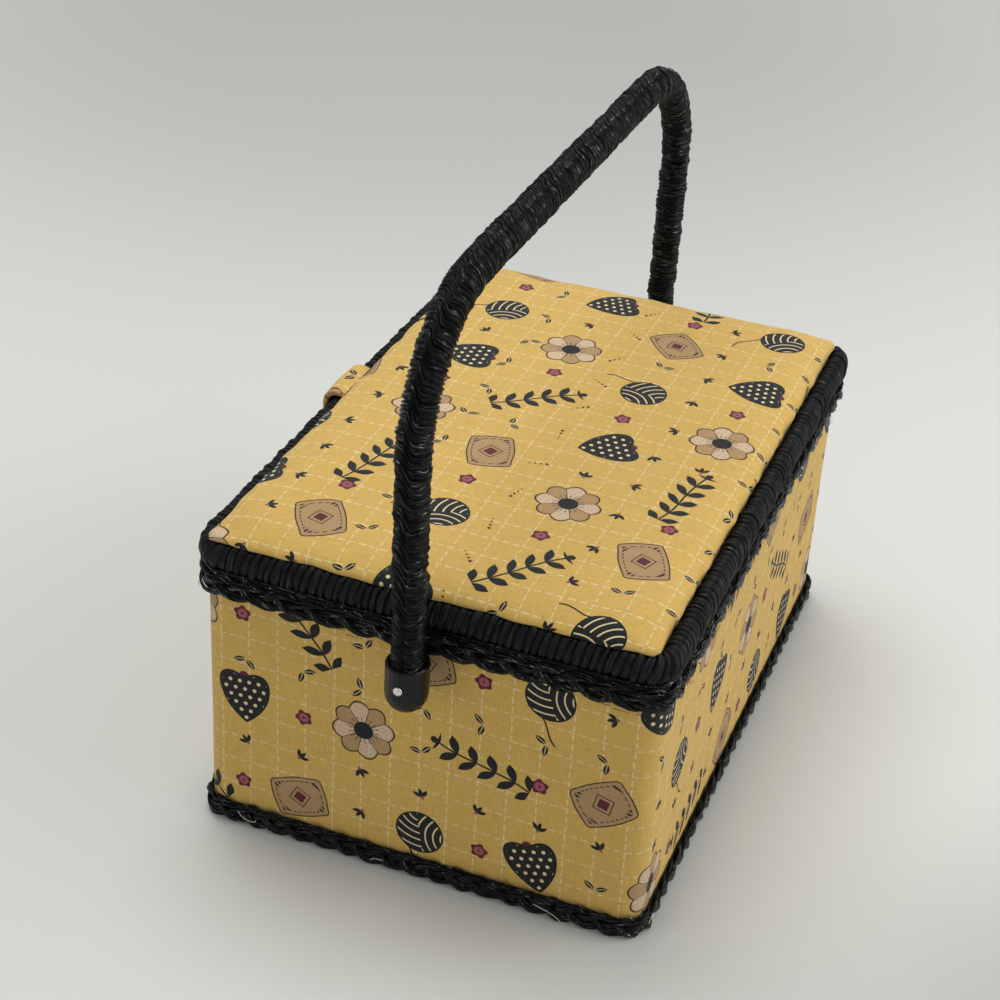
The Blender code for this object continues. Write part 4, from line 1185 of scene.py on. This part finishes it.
def makeStrap():
    p = strap
    line, last, midY = strapLine()
    length = runOf(line)
    total, bend = length[-1], length[last]
    half = p["width"] / 2
    x, y = loopRing((half, p["thick"] / 2, p["edgeRound"]), 120).T
    front = y > 0
    stations = np.concatenate([np.linspace(0, total - p["corner"], p["steps"]),
                               total - p["corner"] * (1 - np.sin(np.linspace(0, pi / 2, 10)[1:]))])

    def spotAt(s):
        return np.array([np.interp(s, length, column) for column in line.T])

    points, places = [], []
    for s in stations:
        ahead = unit(spotAt(min(s + 0.0008, total)) - spotAt(max(s - 0.0008, 0)))
        out = np.array([ahead[1], -ahead[0]])
        if out[1] < 0 or (abs(out[1]) < 1e-6 and out[0] > 0):
            out = -out
        # the end is rounded
        gone = max(s - (total - p["corner"]), 0)
        scale = 1 - (p["corner"] - math.sqrt(max(p["corner"] ** 2 - gone ** 2, 0))) / half
        narrowed = x * scale
        arched = np.cos(pi * narrowed / p["width"])
        swell = p["bulge"] * math.sin(pi * s / bend) ** 2 if s < bend else 0.0
        fromStitch = np.abs(narrowed) - (half - p["stitchInset"])
        stitch = p["stitch"] * np.exp(-(fromStitch / p["stitchSize"]) ** 2)
        lift = y + np.where(front, swell * (0.55 + 0.45 * arched) + p["puff"] * arched - stitch, 0)
        if s > total - 0.0006:
            lift *= 0.6
        points.append(np.column_stack([narrowed, spotAt(s) + out * lift[:, None]]))
        places.append(np.column_stack([narrowed + 0.338, 0 * x + s + 0.02, np.where(front, 0, 0.3)]))
    piece = solidPiece("closingStrap", points, solidFaces(len(points), len(x)), printedCotton, places)
    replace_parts(piece, "strap_arch", "strap_flap")
    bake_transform(piece)


makeStrap()
print("strap made")

# Pincushion: felt over wool, quilted down at four tufts

pincushion = {"rows": 26, "points": 96, "corner": 0.010, "shrink": 0.985, "tuft": 0.0022,
              "tuftReach": 0.0065, "tufts": (0.45, 0.4), "above": 0.0002, "fill": 0.9}


def makePincushion():
    p = pincushion
    low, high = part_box("pincushion")
    centre = (low + high) / 2
    halfX, halfY, deep = (high.x - low.x) / 2, (high.y - low.y) / 2, high.z - low.z
    points = []
    for share in np.arange(p["rows"]) / (p["rows"] - 1):
        shrink = 1 - share * p["shrink"]
        corner = min(p["corner"], halfY * shrink * 0.9)
        ring = loopRing((halfX * shrink, halfY * shrink, corner), p["points"])
        sink = deep * (1 - (1 - share) ** 2.4) ** 0.5
        z = np.full(len(ring), high.z + p["above"] - sink)
        for signX, signY in ((-1, -1), (-1, 1), (1, -1), (1, 1)):
            tuft = (signX * p["tufts"][0] * halfX, signY * p["tufts"][1] * halfY)
            z += p["tuft"] * np.exp(-(np.hypot(*(ring - tuft).T) / p["tuftReach"]) ** 2)
        z = np.minimum(z, high.z - 0.0003)
        points.append(np.column_stack([ring + (centre.x, centre.y), z]))
    piece = solidPiece("feltPincushion", points, solidFaces(p["rows"], p["points"]), cushionFelt)
    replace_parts(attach(piece, "lid"), "pincushion")


makePincushion()
print("pincushion made")

# Floor, light and camera

# Painted shade on the floor: round each of the shade places (centre x, centre y, strength, reach) the
# floor's colour darkens towards the shade colour. The first dims the far floor as if less light reached
# it; the second paints a shadow beyond the box's +Y side.
studio = {"floor": (0.645, 0.653, 0.625), "shade": (0.450, 0.457, 0.437),
          "paintedShadePlaces": [(-0.85, -0.40, 1.25, 0.65), (0.15, 0.32, 1.10, 0.20)], "floorHalf": 6.0,
          "toneScale": 1.2, "tone": 0.15, "roughness": 0.75, "gloss": 0.2,
          "world": (0.86, 0.87, 0.86), "worldStrength": 0.56}


def makeStudio():
    p = studio
    material, tree, place = startMaterial("paperFloor")
    x, y = split(tree, place)[:2]
    tone = (noiseField(tree, place, p["toneScale"]) - 0.5) * p["tone"]
    # painted shade: near each place the floor blends towards the shade colour
    for centreX, centreY, strength, reach in p["paintedShadePlaces"]:
        near = (lengthOf(x - centreX, y - centreY) / -reach + strength).held()
        tone = tone + near * near * (3.0 - near * 2.0)
    setShader(tree, {"Base Color": mixColour(tree, tone, p["floor"], p["shade"]),
                     "Roughness": p["roughness"], "Specular IOR Level": p["gloss"]})
    corners = [(x, y, 0) for x, y in ((-1, -1), (1, -1), (1, 1), (-1, 1))]
    newPiece("studioFloor", p["floorHalf"] * np.array(corners), [(0, 1, 2, 3)], material)
    world = bpy.context.scene.world or bpy.data.worlds.new("studioWorld")
    bpy.context.scene.world = world
    world.use_nodes = True
    background = world.node_tree.nodes.get("Background")
    background.inputs["Color"].default_value = (*p["world"], 1.0)
    background.inputs["Strength"].default_value = p["worldStrength"]


lamps = {
    "keyLamp": {"place": (-0.45, -0.45, 1.75), "size": 1.3, "power": 19.0},
    "wallLamp": {"place": (-0.30, 1.50, 0.90), "size": 1.6, "power": 14.5},
    "endLamp": {"place": (1.50, -0.90, 0.55), "size": 1.0, "power": 1.8},
}


def makeLamps():
    for name, p in lamps.items():
        data = bpy.data.lights.new(name, "AREA")
        data.shape = "DISK"
        data.size = p["size"]
        data.energy = p["power"]
        lamp = addObject(name, data)
        lamp.location = p["place"]
        aim = Vector((0, 0, 0.1)) - lamp.location
        lamp.rotation_euler = aim.to_track_quat("-Z", "Y").to_euler()


view = {"place": (0.81038, 0.26239, 0.63130), "yaw": -160.5398, "pitch": -31.4290, "roll": 3.5434,
        "lens": 75.0657, "sensor": 36.0, "clip": (0.01, 50.0)}


def makeCamera():
    data = bpy.data.cameras.new("photoCamera")
    data.lens = view["lens"]
    data.sensor_width = view["sensor"]
    data.clip_start, data.clip_end = view["clip"]
    camera = addObject("photoCamera", data)
    spot = Matrix.Translation(view["place"])
    for angle, axis in ((view["yaw"] - 90, "Z"), (view["pitch"] + 90, "X"), (view["roll"], "Z")):
        spot = spot @ Matrix.Rotation(math.radians(angle), 4, axis)
    camera.matrix_world = spot
    bpy.context.scene.camera = camera


makeStudio()
makeLamps()
makeCamera()
bpy.context.scene.view_settings.view_transform = "Standard"
print("studio made")
